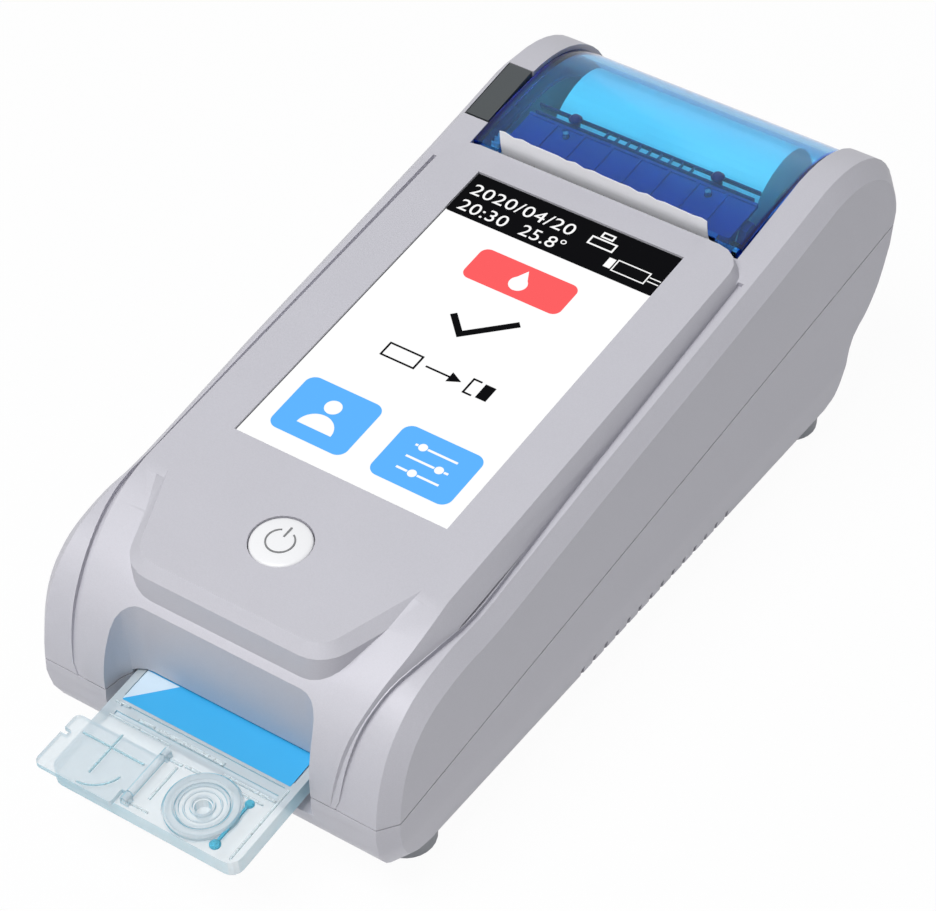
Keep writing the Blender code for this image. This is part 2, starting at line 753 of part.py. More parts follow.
def band(path, inner, outer, above, below):
    """Two mirrored strips that follow a side-view path; inner and outer give x at each point."""
    strips = []
    for side in (-1, 1):
        rings = []
        for index, (y, z) in enumerate(path):
            before = path[max(index - 1, 0)]
            after = path[min(index + 1, len(path) - 1)]
            along = Vector((after[0] - before[0], after[1] - before[1])).normalized()
            normal = Vector((along.y, -along.x))
            top = (y + normal.x * above, z + normal.y * above)
            low = (y - normal.x * below[index], z - normal.y * below[index])
            rings.append([(side * inner[index], *low), (side * outer[index], *low),
                          (side * outer[index], *top), (side * inner[index], *top)])
        strips.append(loft(rings))
    return strips


# Housing halves and the shapes that open them

def deck_band():
    """The raised deck: a strip with sloping sides that follows the deck and the nose."""
    stations = deck_stations()
    rings = []
    for index, (y, z, half_width) in enumerate(stations):
        before = stations[max(index - 1, 0)]
        after = stations[min(index + 1, len(stations) - 1)]
        along = Vector((after[0] - before[0], after[1] - before[1])).normalized()
        normal = Vector((along.y, -along.x))
        if index < 5:
            normal = Vector((0, 1))
        low = (y - normal.x * DECK_RISE, z - normal.y * DECK_RISE)
        foot = half_width + DECK_RISE * DECK_FLARE
        rings.append([(-half_width, y, z), (-foot, *low), (foot, *low), (half_width, y, z)])
    return loft(rings)


def tongue_outline(grow=0.0):
    start = DECK_FLAT_FRONT + 0.006
    slope = (TONGUE_HALF_WIDTH - TONGUE_FRONT_HALF_WIDTH) / (TONGUE_START - TONGUE_FRONT)
    rear_half_width = TONGUE_HALF_WIDTH + slope * (start - TONGUE_START) + grow
    front = TONGUE_FRONT - grow
    front_half_width = TONGUE_FRONT_HALF_WIDTH + grow * 0.7
    corner = TONGUE_CORNER + grow
    return rounded_corners([
        (-front_half_width, front, corner), (front_half_width, front, corner),
        (rear_half_width, start, 0), (-rear_half_width, start, 0)])


def tongue():
    """The deck's front tongue with its chamfered edge."""
    top = tongue_outline()
    skirt = tongue_outline(TONGUE_CHAMFER)
    levels = ((top, 0.0), (skirt, -TONGUE_CHAMFER), (skirt, -TONGUE_DEPTH))
    return loft([[(x, y, z) for x, y in outline] for outline, z in levels])


def tongue_notches():
    """Sloping cuts that let the tongue's chamfer run up to a point on each side."""
    slope = (TONGUE_HALF_WIDTH - TONGUE_FRONT_HALF_WIDTH) / (TONGUE_START - TONGUE_FRONT)
    wedges = []
    for side in (-1, 1):
        rings = []
        for run in (0.0, NOTCH_LENGTH):
            edge = TONGUE_HALF_WIDTH - slope * run
            foot = edge + TONGUE_CHAMFER
            section = ((edge - TONGUE_OVERLAP, -TONGUE_CHAMFER), (foot, -TONGUE_CHAMFER),
                       (foot + NOTCH_SLOPE_WIDTH, TOUCH_GAP), (foot + NOTCH_SLOPE_WIDTH, TONGUE_OVERLAP),
                       (edge - TONGUE_OVERLAP, TONGUE_OVERLAP))
            rings.append([(side * x, TONGUE_START - run, z) for x, z in section])
        wedges.append(loft(rings))
    return wedges


def scoop_outline(grow=0.0):
    """Plan view of the recess in the nose, open to the front."""
    back = SCOOP_BACK + grow
    return rounded_corners([
        (-SCOOP_MOUTH_HALF_WIDTH - grow, SCOOP_FRONT, 0), (SCOOP_MOUTH_HALF_WIDTH + grow, SCOOP_FRONT, 0),
        (SCOOP_HALF_WIDTH + grow, back, SCOOP_CORNER), (-SCOOP_HALF_WIDTH - grow, back, SCOOP_CORNER)])


scoop = as_cutter(plan_plate(scoop_outline(), SCOOP_FLOOR, 0.004), "scoop")
scoop_shell = as_cutter(plan_plate(scoop_outline(CASE_WALL), SCOOP_FLOOR - CASE_WALL, 0.004), "scoop_shell")
card_half_slot = CARD_WIDTH / 2 + SLIDE_GAP * 2
card_slot = as_cutter(box((-card_half_slot, SCOOP_BACK - 0.004, CARD_TOP - CARD_THICKNESS - SLIDE_GAP * 2),
                          (card_half_slot, SCOOP_BACK + 0.006, CARD_TOP + LABEL_THICKNESS + SLIDE_GAP * 2)),
                      "card_slot")

case_cavity = as_cutter(case_solid(CASE_WALL), "case_cavity")
boolean(case_cavity, scoop_shell)


seat_core = as_cutter(case_solid(CASE_WALL / 2), "seat_core")
floor_from_deck = Matrix.Translation((0, 0, SCREEN_HEIGHT)) @ Matrix.Rotation(DECK_TILT, 4, 'X')


def in_deck(thing):
    """Turn a shape that was made square to the floor into the deck's frame."""
    thing.data.transform(floor_from_deck.inverted())
    return thing


def seated(thing):
    """Trim a boss or rib so that it ends inside the housing's wall."""
    boolean(thing, seat_core, 'INTERSECT')
    return thing


def seam_height(y):
    """Height of the seam over the floor, at a Y over the floor."""
    along = (y - SEAM_DEPTH * sin(DECK_TILT)) / cos(DECK_TILT)
    return to_floor(along, -SEAM_DEPTH)[1]


def case_screw_places():
    return [(side * SCREW_X, y) for side in (-1, 1) for y in (FRONT_SCREW_Y, REAR_SCREW_Y)]


def board_screw_places():
    """X and Y of each board screw with the height of the board's top under it."""
    corners = [(side * BOARD_SCREW_X, y, -BOARD_DEPTH)
               for side in (-1, 1) for y in (BOARD_FRONT + BOARD_SCREW_END, BOARD_REAR - BOARD_SCREW_END)]
    return corners + [(side * KEY_SCREW_X, BUTTON_Y, key_board_top()) for side in (-1, 1)]


def key_board_top():
    return -(CASE_WALL + TOUCH_GAP + BUTTON_FLANGE_THICKNESS + BUTTON_STEM_LENGTH + PLUNGER_LENGTH
             - PLUNGER_SINK + SWITCH_HEIGHT + TOUCH_GAP)


def lever_pocket():
    """The cut in the left shoulder: open under the lever, shallow over the pin's wall."""
    outer = -CROWN_HALF_WIDTH + TOUCH_GAP / 2
    inner = -BAY_HALF_WIDTH + 0.001
    wall = -(BAY_HALF_WIDTH + BAY_WALL + TOUCH_GAP * 2)
    front = LEVER_FRONT - LEVER_FRONT_GAP
    rear = LEVER_REAR + TOUCH_GAP
    pin_hole = cylinder(LEVER_PIN_RADIUS + TOUCH_GAP, outer - LEVER_PIN_END - TOUCH_GAP, inner,
                        (LEVER_PIN_Y, -LEVER_PIN_DEPTH), 'X')
    step = LEVER_PIN_Y - 0.0030
    outline = [(rear, -0.0042), (rear, 0.0030), (front, 0.0030), (front, -0.0085), (step, -0.0085),
               (step, -0.0042)]
    return (side_plate(outline, outer, inner), box((outer, front, -0.0110), (wall, rear, -0.0030)), pin_hole)


def bay_wall(side):
    """The inner wall of a shoulder, beside the printer."""
    outline = inset_outline(case_outline(), CASE_WALL / 2)
    inner = side * (BAY_HALF_WIDTH + TOUCH_GAP)
    outer = side * (BAY_HALF_WIDTH + TOUCH_GAP + BAY_WALL)
    wall = side_plate(outline, min(inner, outer), max(inner, outer))
    trimmed(wall, (0, DECK_REAR - CASE_WALL, 0), (0, 1, 0))
    return trimmed(wall, (0, 0, -SEAM_DEPTH + 0.001), (0, 0, 1))


def groove_path():
    """The crown from beside the printer to the nose, with the deck's half width at each point."""
    crown = [point for point in crown_path() if point[0] <= DECK_REAR + 0.003]
    path = [((a[0] + b[0]) / 2, (a[1] + b[1]) / 2) for a, b in zip(crown, crown[1:])]
    stations = deck_stations()
    widths = []
    for y, z in path:
        nearest = min(stations, key=lambda item: hypot(item[0] - y, item[1] - z))
        for first, second in zip(stations, stations[1:]):
            if second[0] <= y <= first[0] and first[0] > second[0]:
                share = (first[0] - y) / (first[0] - second[0])
                nearest = [a + (b - a) * share for a, b in zip(first, second)]
        step = max(nearest[1] - z, 0)
        full = DECK_HALF_WIDTH if y > 0 else nearest[2]
        widths.append(full + step * DECK_FLARE)
    return path, widths


def housing_top():
    top = case_solid(0.0, "above", -SEAM_DEPTH + TOUCH_GAP / 2)
    finish(top, "upper_cover", "silver")
    above_seam = (0, 0, -SEAM_DEPTH + TOUCH_GAP)
    boolean(top, as_cutter(trimmed(deck_band(), above_seam, (0, 0, 1)), "deck_band"), 'UNION')
    for index, wedge in enumerate(tongue_notches()):
        boolean(top, as_cutter(wedge, "tongue_notch_%d" % index))
    boolean(top, as_cutter(tongue(), "tongue"), 'UNION')
    boolean(top, case_cavity)
    pocket_half_width = DECK_HALF_WIDTH - CASE_WALL
    boolean(top, as_cutter(box((-pocket_half_width, DECK_FLAT_FRONT + 0.001, -0.0120),
                               (pocket_half_width, DECK_REAR - CASE_WALL, -CASE_WALL)), "deck_pocket"))
    for side in (-1, 1):
        boolean(top, as_cutter(bay_wall(side), "bay_wall_%d" % side), 'UNION')
    path, widths = groove_path()
    last = len(path) - 1
    fade = [GROOVE_DEPTH * min(1.0, (last - index) / GROOVE_FADE_POINTS) + 0.00002
            for index in range(len(path))]
    outer = [width + GROOVE_WIDTH for width in widths]
    for index, strip in enumerate(band(path, widths, outer, 0.0012, fade)):
        boolean(top, as_cutter(strip, "rail_groove_%d" % index))
    bay = box((-BAY_HALF_WIDTH, DECK_REAR + 0.0004, HINGE_Z - 0.0050),
              (BAY_HALF_WIDTH, HUMP_Y + TAIL_REACH * 1.2, 0.0100))
    boolean(top, as_cutter(bay, "printer_bay"))
    boolean(top, scoop)
    boolean(top, card_slot)
    window = box((-SCREEN_WIDTH / 2, -SCREEN_LENGTH / 2, -0.0100),
                 (SCREEN_WIDTH / 2, SCREEN_LENGTH / 2, 0.0020))
    boolean(top, as_cutter(window, "screen_window"))
    ledge_x = SCREEN_WIDTH / 2 + GLASS_BORDER + TOUCH_GAP
    ledge_y = SCREEN_LENGTH / 2 + GLASS_BORDER + TOUCH_GAP
    ledge = box((-ledge_x, -ledge_y, -0.0090), (ledge_x, ledge_y, -GLASS_RECESS))
    boolean(top, as_cutter(ledge, "glass_ledge"))
    hole = cylinder(BUTTON_RADIUS + SLIDE_GAP, -0.0060, 0.0020, (0, BUTTON_Y), segments=32)
    boolean(top, as_cutter(hole, "button_hole"))
    guard_radius = BUTTON_RADIUS + BUTTON_FLANGE + SLIDE_GAP
    guard = cylinder(guard_radius, -0.0120, -CASE_WALL, (0, BUTTON_Y), segments=32)
    boolean(top, as_cutter(guard, "button_guard"))
    cut_from(top, *lever_pocket())
    pin_reach = HINGE_PIN_REACH + TOUCH_GAP
    cut_from(top, cylinder(HINGE_PIN_RADIUS + TOUCH_GAP, -pin_reach, pin_reach, (HINGE_Y, HINGE_Z), 'X'))
    for x, y, bottom in board_screw_places():
        add_to(top, cylinder(STANDOFF_RADIUS, bottom + TOUCH_GAP, -CASE_WALL / 2, (x, y), segments=16))
        cut_from(top, cylinder(BOARD_SCREW_RADIUS + TOUCH_GAP, bottom, bottom + BOARD_SCREW_DEPTH, (x, y),
                               segments=12))
    for x, y in case_screw_places():
        start = seam_height(y) + TOUCH_GAP + UPPER_BOSS_RADIUS * sin(DECK_TILT)
        height = FRONT_BOSS_HEIGHT if y < 0 else REAR_BOSS_HEIGHT
        add_to(top, seated(in_deck(cylinder(UPPER_BOSS_RADIUS, start, start + height, (x, y)))))
        bite = start + SCREW_BITE + TOUCH_GAP
        cut_from(top, in_deck(cylinder(SCREW_RADIUS + TOUCH_GAP, start - 0.005, bite, (x, y), segments=16)))
    return top


def housing_bottom():
    bottom = case_solid(0.0, "below", -SEAM_DEPTH - TOUCH_GAP / 2)
    finish(bottom, "lower_case", "silver")
    boolean(bottom, case_cavity)
    boolean(bottom, scoop)
    boolean(bottom, card_slot)
    for x, y in case_screw_places():
        top = seam_height(y) - TOUCH_GAP - BOSS_RADIUS * sin(DECK_TILT)
        add_to(bottom, seated(in_deck(cylinder(BOSS_RADIUS, 0, top, (x, y)))))
        cut_from(bottom, in_deck(cylinder(SCREW_RADIUS + TOUCH_GAP, 0, top + 0.001, (x, y), segments=16)))
        cut_from(bottom, in_deck(cylinder(SCREW_HEAD_RADIUS + TOUCH_GAP, 0, top - SCREW_SEAT, (x, y),
                                          segments=16)))
    for y in (FRONT_EAR_Y, REAR_EAR_Y):
        for side in (-1, 1):
            x = side * (FRAME_INNER_HALF_WIDTH + FRAME_WALL + POST_RADIUS)
            top = EAR_TOP - FRAME_EAR_THICKNESS - TOUCH_GAP
            add_to(bottom, seated(cylinder(POST_RADIUS, -0.1, top, (x, y), segments=16)))
    for y in (GUIDE_FRONT + GUIDE_POST_INSET, GUIDE_REAR - GUIDE_POST_INSET):
        for side in (-1, 1):
            top = guide_floor_top() - GUIDE_WALL - TOUCH_GAP
            post = cylinder(POST_RADIUS, -0.1, top, (side * CARD_WIDTH * 0.4, y), segments=16)
            add_to(bottom, seated(post))
    shelf = box((-CASE_HALF_WIDTH, JACK_Y - JACK_SIZE / 2, JACK_Z - JACK_SIZE / 2 - JACK_SHELF),
                (-CASE_HALF_WIDTH + CASE_WALL + JACK_LENGTH, JACK_Y + JACK_SIZE / 2,
                 JACK_Z - JACK_SIZE / 2 - TOUCH_GAP))
    add_to(bottom, seated(shelf))
    cut_from(bottom, cylinder(JACK_RADIUS + TOUCH_GAP, -CASE_HALF_WIDTH - 0.001, -CASE_HALF_WIDTH + 0.004,
                              (JACK_Y, JACK_Z), 'X'))
    battery_well(bottom)
    slots = [box((side * CASE_HALF_WIDTH - VENT_REACH, VENT_START + index * VENT_PITCH - VENT_WIDTH / 2,
                  VENT_Z - VENT_HEIGHT / 2),
                 (side * CASE_HALF_WIDTH + VENT_REACH, VENT_START + index * VENT_PITCH + VENT_WIDTH / 2,
                  VENT_Z + VENT_HEIGHT / 2))
             for index in range(VENT_COUNT) for side in (-1, 1)]
    cut_from(bottom, in_deck(group(*slots)))
    stems = [cylinder(FOOT_STEM_RADIUS + TOUCH_GAP, 0, FOOT_HEIGHT + CASE_WALL * 2, place, segments=16)
             for place in foot_places()]
    cut_from(bottom, in_deck(group(*stems)))


def foot_places():
    return [(side * FOOT_X, y) for side in (-1, 1) for y in (FRONT_FOOT_Y, REAR_FOOT_Y)]


def guide_floor_top():
    return CARD_TOP - CARD_THICKNESS - TOUCH_GAP


def battery_well(bottom):
    """The walls round the battery, the seat of its door and the door's screw boss."""
    half_width = BATTERY_WIDTH / 2 + TOUCH_GAP
    front = BATTERY_Y - BATTERY_LENGTH / 2 - TOUCH_GAP
    rear = BATTERY_Y + BATTERY_LENGTH / 2 + TOUCH_GAP
    low = FOOT_HEIGHT + WELL_SINK
    top = FOOT_HEIGHT + WELL_HEIGHT
    add_to(bottom, in_deck(box((-half_width - WELL_WALL, front - WELL_WALL, low),
                               (half_width + WELL_WALL, rear + DOOR_TAB, top))))
    seat = FOOT_HEIGHT + DOOR_THICKNESS + TOUCH_GAP
    cut_from(bottom, in_deck(box((-half_width - DOOR_LIP, front - DOOR_LIP, 0),
                                 (half_width + DOOR_LIP, rear + DOOR_TAB - DOOR_LIP, seat))))
    cut_from(bottom, in_deck(box((-half_width, front, 0), (half_width, rear, top + 0.001))))
    cut_from(bottom, in_deck(cylinder(SCREW_RADIUS + TOUCH_GAP, 0, top - 0.001, (0, rear + DOOR_TAB / 2),
                                      segments=16)))


def floor_pieces():
    """Battery, its door and screw, the feet and the case screws, all square to the floor."""
    half_width = BATTERY_WIDTH / 2
    front = BATTERY_Y - BATTERY_LENGTH / 2
    rear = BATTERY_Y + BATTERY_LENGTH / 2
    door_top = FOOT_HEIGHT + DOOR_THICKNESS
    pack = box((-half_width, front, door_top + TOUCH_GAP),
               (half_width, rear, door_top + BATTERY_HEIGHT), 0.0010)
    finish(pack, "battery_pack", "battery_wrap", floor_frame)
    screw_y = rear + TOUCH_GAP + DOOR_TAB / 2
    door = box((-half_width - DOOR_LIP, front - DOOR_LIP, FOOT_HEIGHT),
               (half_width + DOOR_LIP, rear + DOOR_TAB - DOOR_LIP, door_top))
    finish(door, "battery_door", "silver", floor_frame)
    screw_seat = FOOT_HEIGHT + DOOR_THICKNESS / 2
    cut_from(door, cylinder(SCREW_RADIUS + TOUCH_GAP, 0, door_top + 0.001, (0, screw_y), segments=16),
             cylinder(SCREW_HEAD_RADIUS + TOUCH_GAP, 0, screw_seat, (0, screw_y), segments=16))
    for side in (-1, 1):
        grip_x = side * DOOR_GRIP_X
        cut_from(door, box((grip_x - DOOR_GRIP_HALF_WIDTH, front + 0.0030, 0),
                           (grip_x + DOOR_GRIP_HALF_WIDTH, front + 0.0045, screw_seat)))
    head = FOOT_HEIGHT + HEAD_GAP
    tip = door_top + DOOR_SCREW_REACH
    profile = [(0, tip), (SCREW_RADIUS, tip), (SCREW_RADIUS, screw_seat - HEAD_GAP),
               (SCREW_HEAD_RADIUS, screw_seat - HEAD_GAP), (SCREW_HEAD_RADIUS, head), (0, head)]
    finish(turned(profile, (0, screw_y, 0), segments=16), "door_screw", "steel", floor_frame)
    for number, (x, y) in enumerate(case_screw_places(), 1):
        seam = seam_height(y)
        seat = seam - TOUCH_GAP - BOSS_RADIUS * sin(DECK_TILT) - SCREW_SEAT - HEAD_GAP
        tip = seam + TOUCH_GAP + UPPER_BOSS_RADIUS * sin(DECK_TILT) + SCREW_BITE
        profile = [(0, tip), (SCREW_RADIUS, tip), (SCREW_RADIUS, seat), (SCREW_HEAD_RADIUS, seat),
                   (SCREW_HEAD_RADIUS, seat - SCREW_HEAD_HEIGHT), (0, seat - SCREW_HEAD_HEIGHT)]
        finish(turned(profile, (x, y, 0), segments=16), "case_screw_%d" % number, "steel", floor_frame)
    for x, y in foot_places():
        name = "foot_%s_%s" % ("front" if y < 0 else "rear", "left" if x < 0 else "right")
        top = FOOT_HEIGHT - TOUCH_GAP
        stem_top = FOOT_HEIGHT + CASE_WALL
        profile = [(0, stem_top), (FOOT_STEM_RADIUS, stem_top), (FOOT_STEM_RADIUS, top), (FOOT_RADIUS, top),
                   (FOOT_RADIUS, FOOT_EDGE), (FOOT_RADIUS - FOOT_EDGE, 0), (0, 0)]
        finish(turned(profile, (x, y, 0), segments=28), name, "rubber_grey", floor_frame)


def small_screw(tip, head_top):
    """Profile of a board screw from its tip down to its head."""
    head_bottom = head_top - BOARD_SCREW_HEAD_HEIGHT
    return [(0, tip), (BOARD_SCREW_RADIUS, tip), (BOARD_SCREW_RADIUS, head_top), (BOARD_SCREW_HEAD, head_top),
            (BOARD_SCREW_HEAD, head_bottom), (0, head_bottom)]


def screen_pieces():
    half_x = SCREEN_WIDTH / 2 + GLASS_BORDER
    half_y = SCREEN_LENGTH / 2 + GLASS_BORDER
    glass_bottom = -GLASS_RECESS - GLASS_THICKNESS
    glass = box((-half_x, -half_y, glass_bottom), (half_x, half_y, -GLASS_RECESS))
    finish(glass, "touch_glass", "glass_black")
    display_top = glass_bottom - TOUCH_GAP
    display = box((-half_x, -half_y, display_top - DISPLAY_THICKNESS), (half_x, half_y, display_top), 0.0004)
    finish(display, "display_module", "display_grey")
    board = box((-BOARD_HALF_WIDTH, BOARD_FRONT, -BOARD_DEPTH - BOARD_THICKNESS),
                (BOARD_HALF_WIDTH, BOARD_REAR, -BOARD_DEPTH))
    finish(board, "main_board", "board_green")
    chip_bottom = -BOARD_DEPTH - BOARD_THICKNESS
    for x, y, half, height in BOARD_CHIPS:
        add_to(board, box((x - half, y - half, chip_bottom - height),
                          (x + half, y + half, chip_bottom + TOUCH_GAP)))
    top = key_board_top()
    keys = box((-KEY_BOARD_HALF_WIDTH, BUTTON_Y - KEY_BOARD_HALF_LENGTH, top - KEY_BOARD_THICKNESS),
               (KEY_BOARD_HALF_WIDTH, BUTTON_Y + KEY_BOARD_HALF_LENGTH, top))
    finish(keys, "key_board", "board_green")
    for number, (x, y, level) in enumerate(board_screw_places(), 1):
        carrier = keys if abs(y - BUTTON_Y) < TOUCH_GAP else board
        thickness = KEY_BOARD_THICKNESS if carrier is keys else BOARD_THICKNESS
        cut_from(carrier, cylinder(BOARD_SCREW_RADIUS + TOUCH_GAP, level - thickness - 0.001, level + 0.001,
                                   (x, y), segments=12))
        tip = level + BOARD_SCREW_DEPTH - TOUCH_GAP
        profile = small_screw(tip, level - thickness - HEAD_GAP)
        finish(turned(profile, (x, y, 0), segments=12), "board_screw_%d" % number, "steel")


def button_pieces():
    flange_top = -CASE_WALL - TOUCH_GAP
    flange_bottom = flange_top - BUTTON_FLANGE_THICKNESS
    stem_end = flange_bottom - BUTTON_STEM_LENGTH
    flange_radius = BUTTON_RADIUS + BUTTON_FLANGE
    profile = [(0, BUTTON_CROWN), (BUTTON_RADIUS * 0.55, BUTTON_CROWN * 0.72), (BUTTON_RADIUS * 0.88, 0.0),
               (BUTTON_RADIUS, -0.0004), (BUTTON_RADIUS, flange_top), (flange_radius, flange_top),
               (flange_radius, flange_bottom), (BUTTON_STEM_RADIUS, flange_bottom),
               (BUTTON_STEM_RADIUS, stem_end), (0, stem_end)]
    finish(turned(profile, (0, BUTTON_Y, 0), segments=32), "power_button", "button_white",
           origin=(0, BUTTON_Y, 0))
    plunger_top = stem_end - HEAD_GAP
    plunger = cylinder(PLUNGER_RADIUS, plunger_top - PLUNGER_LENGTH, plunger_top, (0, BUTTON_Y), segments=16)
    finish(plunger, "switch_plunger", "black_plastic", origin=(0, BUTTON_Y, 0))
    top = key_board_top()
    half = SWITCH_SIZE / 2
    base = box((-half, BUTTON_Y - half, top + TOUCH_GAP),
               (half, BUTTON_Y + half, top + TOUCH_GAP + SWITCH_HEIGHT))
    finish(base, "switch_base", "black_plastic")
    cut_from(base, cylinder(PLUNGER_RADIUS + SLIDE_GAP, top + 0.0007, 0, (0, BUTTON_Y), segments=16))


def card_pieces():
    half = CARD_WIDTH / 2
    bottom = CARD_TOP - CARD_THICKNESS
    rear_corner = CARD_CORNER / 3
    outline = rounded_corners([(-half, CARD_FRONT, CARD_CORNER), (half, CARD_FRONT, CARD_CORNER),
                               (half, CARD_REAR, rear_corner), (-half, CARD_REAR, rear_corner)], 4)
    card = plan_plate(outline, bottom, CARD_TOP)
    finish(card, "sensor_card", "clear_aqua")
    label_half = LABEL_WIDTH / 2
    cut_from(card, box((-label_half - TOUCH_GAP, LABEL_FRONT - TOUCH_GAP, CARD_TOP - LABEL_RECESS),
                       (label_half + TOUCH_GAP, LABEL_FRONT + LABEL_LENGTH + TOUCH_GAP, 0)))
    label_bottom = CARD_TOP - LABEL_RECESS + TOUCH_GAP
    label = box((-label_half, LABEL_FRONT, label_bottom),
                (label_half, LABEL_FRONT + LABEL_LENGTH, label_bottom + LABEL_THICKNESS))
    finish(label, "card_label", "label_blue")
    for index in range(2):
        y = LABEL_FRONT - CHANNEL_START - CHANNEL_PITCH * index
        cut_from(card, box((-half + CHANNEL_MARGIN, y - CHANNEL_WIDTH / 2, CARD_TOP - CHANNEL_DEPTH),
                           (half - CHANNEL_MARGIN, y + CHANNEL_WIDTH / 2, 0)))
    channel_right = SAMPLE_CHANNEL_X + SAMPLE_CHANNEL_WIDTH / 2
    cut_from(card, box((channel_right - SAMPLE_CHANNEL_WIDTH, CARD_FRONT + CHANNEL_MARGIN,
                        CARD_TOP - SAMPLE_CHANNEL_DEPTH), (channel_right, PORT_Y + 0.0050, 0)))
    seal_inner = PORT_RADIUS - SEAL_WIDTH
    seat_bottom = CARD_TOP - SEAL_SEAT
    seat_outer = PORT_RADIUS + TOUCH_GAP
    seat_inner = seal_inner - TOUCH_GAP
    ring = [(seat_outer, 0.0), (seat_outer, seat_bottom), (seat_inner, seat_bottom), (seat_inner, 0.0),
            (seat_outer, 0.0)]
    cut_from(card, turned(ring, (PORT_X, PORT_Y, 0), segments=40),
             cylinder(PORT_HOLE_RADIUS, CARD_TOP - PORT_HOLE_DEPTH, 0, (PORT_X, PORT_Y), segments=16))
    low = seat_bottom + TOUCH_GAP
    high = CARD_TOP + PORT_RISE
    seal = [(PORT_RADIUS - SEAL_EDGE, high), (PORT_RADIUS, high - SEAL_EDGE), (PORT_RADIUS, low),
            (seal_inner, low), (seal_inner, high - SEAL_EDGE), (seal_inner + SEAL_EDGE, high),
            (PORT_RADIUS - SEAL_EDGE, high)]
    finish(turned(seal, (PORT_X, PORT_Y, 0), segments=40), "port_seal", "clear_aqua")
    axis_z = CARD_TOP + CARD_HINGE_RISE
    cap_rear = CAP_FRONT + CAP_LENGTH
    lug_front = CARD_FRONT + 0.0006
    lug_rear = cap_rear + TOUCH_GAP
    for start in (lug_front, lug_rear):
        lug = side_outline_lug(axis_z, start)
        add_to(card, lug)
    pin_gap = CARD_HINGE_RADIUS + TOUCH_GAP
    cut_from(card, cylinder(pin_gap, lug_front - 0.001, lug_rear + CARD_LUG_LENGTH + 0.001,
                            (CAP_HINGE_X, axis_z), 'Y', segments=12))
    cap_low = CARD_TOP + TOUCH_GAP
    cap_left = CAP_HINGE_X - CAP_WIDTH
    cap_right = CAP_HINGE_X - CAP_HINGE_CLEARANCE
    notch_x = cap_left + CAP_NOTCH_DEPTH
    cap_outline = rounded_corners([
        (cap_left, CAP_FRONT, CAP_CORNER), (cap_right, CAP_FRONT, CAP_CORNER / 2),
        (cap_right, cap_rear, CAP_CORNER / 2), (cap_left, cap_rear, CAP_CORNER),
        (cap_left, cap_rear - CAP_NOTCH_END, 0), (notch_x, cap_rear - CAP_NOTCH_END, 0),
        (notch_x, cap_rear - CAP_NOTCH_START, 0), (cap_left, cap_rear - CAP_NOTCH_START, 0)], 3)
    cap = plan_plate(cap_outline, cap_low, cap_low + CAP_THICKNESS)
    finish(cap, "card_cap", "clear_aqua", origin=(CAP_HINGE_X, (CAP_FRONT + cap_rear) / 2, axis_z))
    barrel_front = lug_front + CARD_LUG_LENGTH + TOUCH_GAP
    barrel_rear = lug_rear - TOUCH_GAP
    arm = box((cap_right - CARD_LUG_RADIUS, barrel_front, cap_low),
              (CAP_HINGE_X, barrel_rear, cap_low + CAP_THICKNESS))
    barrel = cylinder(CARD_LUG_RADIUS, barrel_front, barrel_rear, (CAP_HINGE_X, axis_z), 'Y', segments=16)
    pin = cylinder(CARD_HINGE_RADIUS, lug_front, lug_rear + CARD_LUG_LENGTH, (CAP_HINGE_X, axis_z), 'Y',
                   segments=12)
    add_to(cap, arm, barrel, pin)


def side_outline_lug(axis_z, start):
    """A lug on the card that holds one end of the cap's pin."""
    radius = CARD_LUG_RADIUS
    outline = [(CAP_HINGE_X - radius, CARD_TOP - 0.0005), (CAP_HINGE_X + radius, CARD_TOP - 0.0005)]
    outline += ellipse_arc((CAP_HINGE_X, axis_z), (radius, radius), 0, pi, 8)
    return front_plate(outline, start, start + CARD_LUG_LENGTH)


def guide_pieces():
    half_slot = CARD_WIDTH / 2 + TOUCH_GAP
    floor_top = guide_floor_top()
    rail_top = CARD_TOP + TOUCH_GAP * 2
    outer = half_slot + GUIDE_RAIL
    guide = box((-outer, GUIDE_FRONT, floor_top - GUIDE_WALL), (outer, GUIDE_REAR, rail_top))
    finish(guide, "card_guide", "black_plastic")
    cut_from(guide, box((-half_slot, GUIDE_FRONT - 0.001, floor_top), (half_slot, CARD_REAR + TOUCH_GAP, 0)))
    heater_bottom = rail_top + TOUCH_GAP
    heater = box((-outer, GUIDE_FRONT + GUIDE_POST_INSET, heater_bottom),
                 (outer, HEATER_REAR, heater_bottom + HEATER_HEIGHT), 0.0005)
    finish(heater, "heater_block", "aluminium")
    for index in range(5):
        x = (index - 2) * HEATER_GROOVE_PITCH
        cut_from(heater, box((x - HEATER_GROOVE_HALF_WIDTH, GUIDE_FRONT, heater_bottom + HEATER_HEIGHT / 2),
                             (x + HEATER_GROOVE_HALF_WIDTH, 0, 0)))
    contacts = box((-outer, HEATER_REAR + TOUCH_GAP, heater_bottom),
                   (outer, GUIDE_REAR, heater_bottom + HEATER_HEIGHT), 0.0003)
    finish(contacts, "contact_block", "black_plastic")


def power_jack():
    half = JACK_SIZE / 2
    outer_end = -CASE_HALF_WIDTH + CASE_WALL + TOUCH_GAP
    inner_end = outer_end + JACK_LENGTH
    body = box((outer_end, JACK_Y - half, JACK_Z - half), (inner_end, JACK_Y + half, JACK_Z + half), 0.0004)
    finish(body, "power_jack", "black_plastic")
    axis = (JACK_Y, JACK_Z)
    cut_from(body, cylinder(JACK_RADIUS, outer_end - 0.001, outer_end + JACK_LENGTH * 0.8, axis, 'X'))
    pin_end = outer_end + JACK_LENGTH * 0.9
    add_to(body, cylinder(JACK_RADIUS * 0.35, outer_end + 0.001, pin_end, axis, 'X', 12))


# Paper and printer

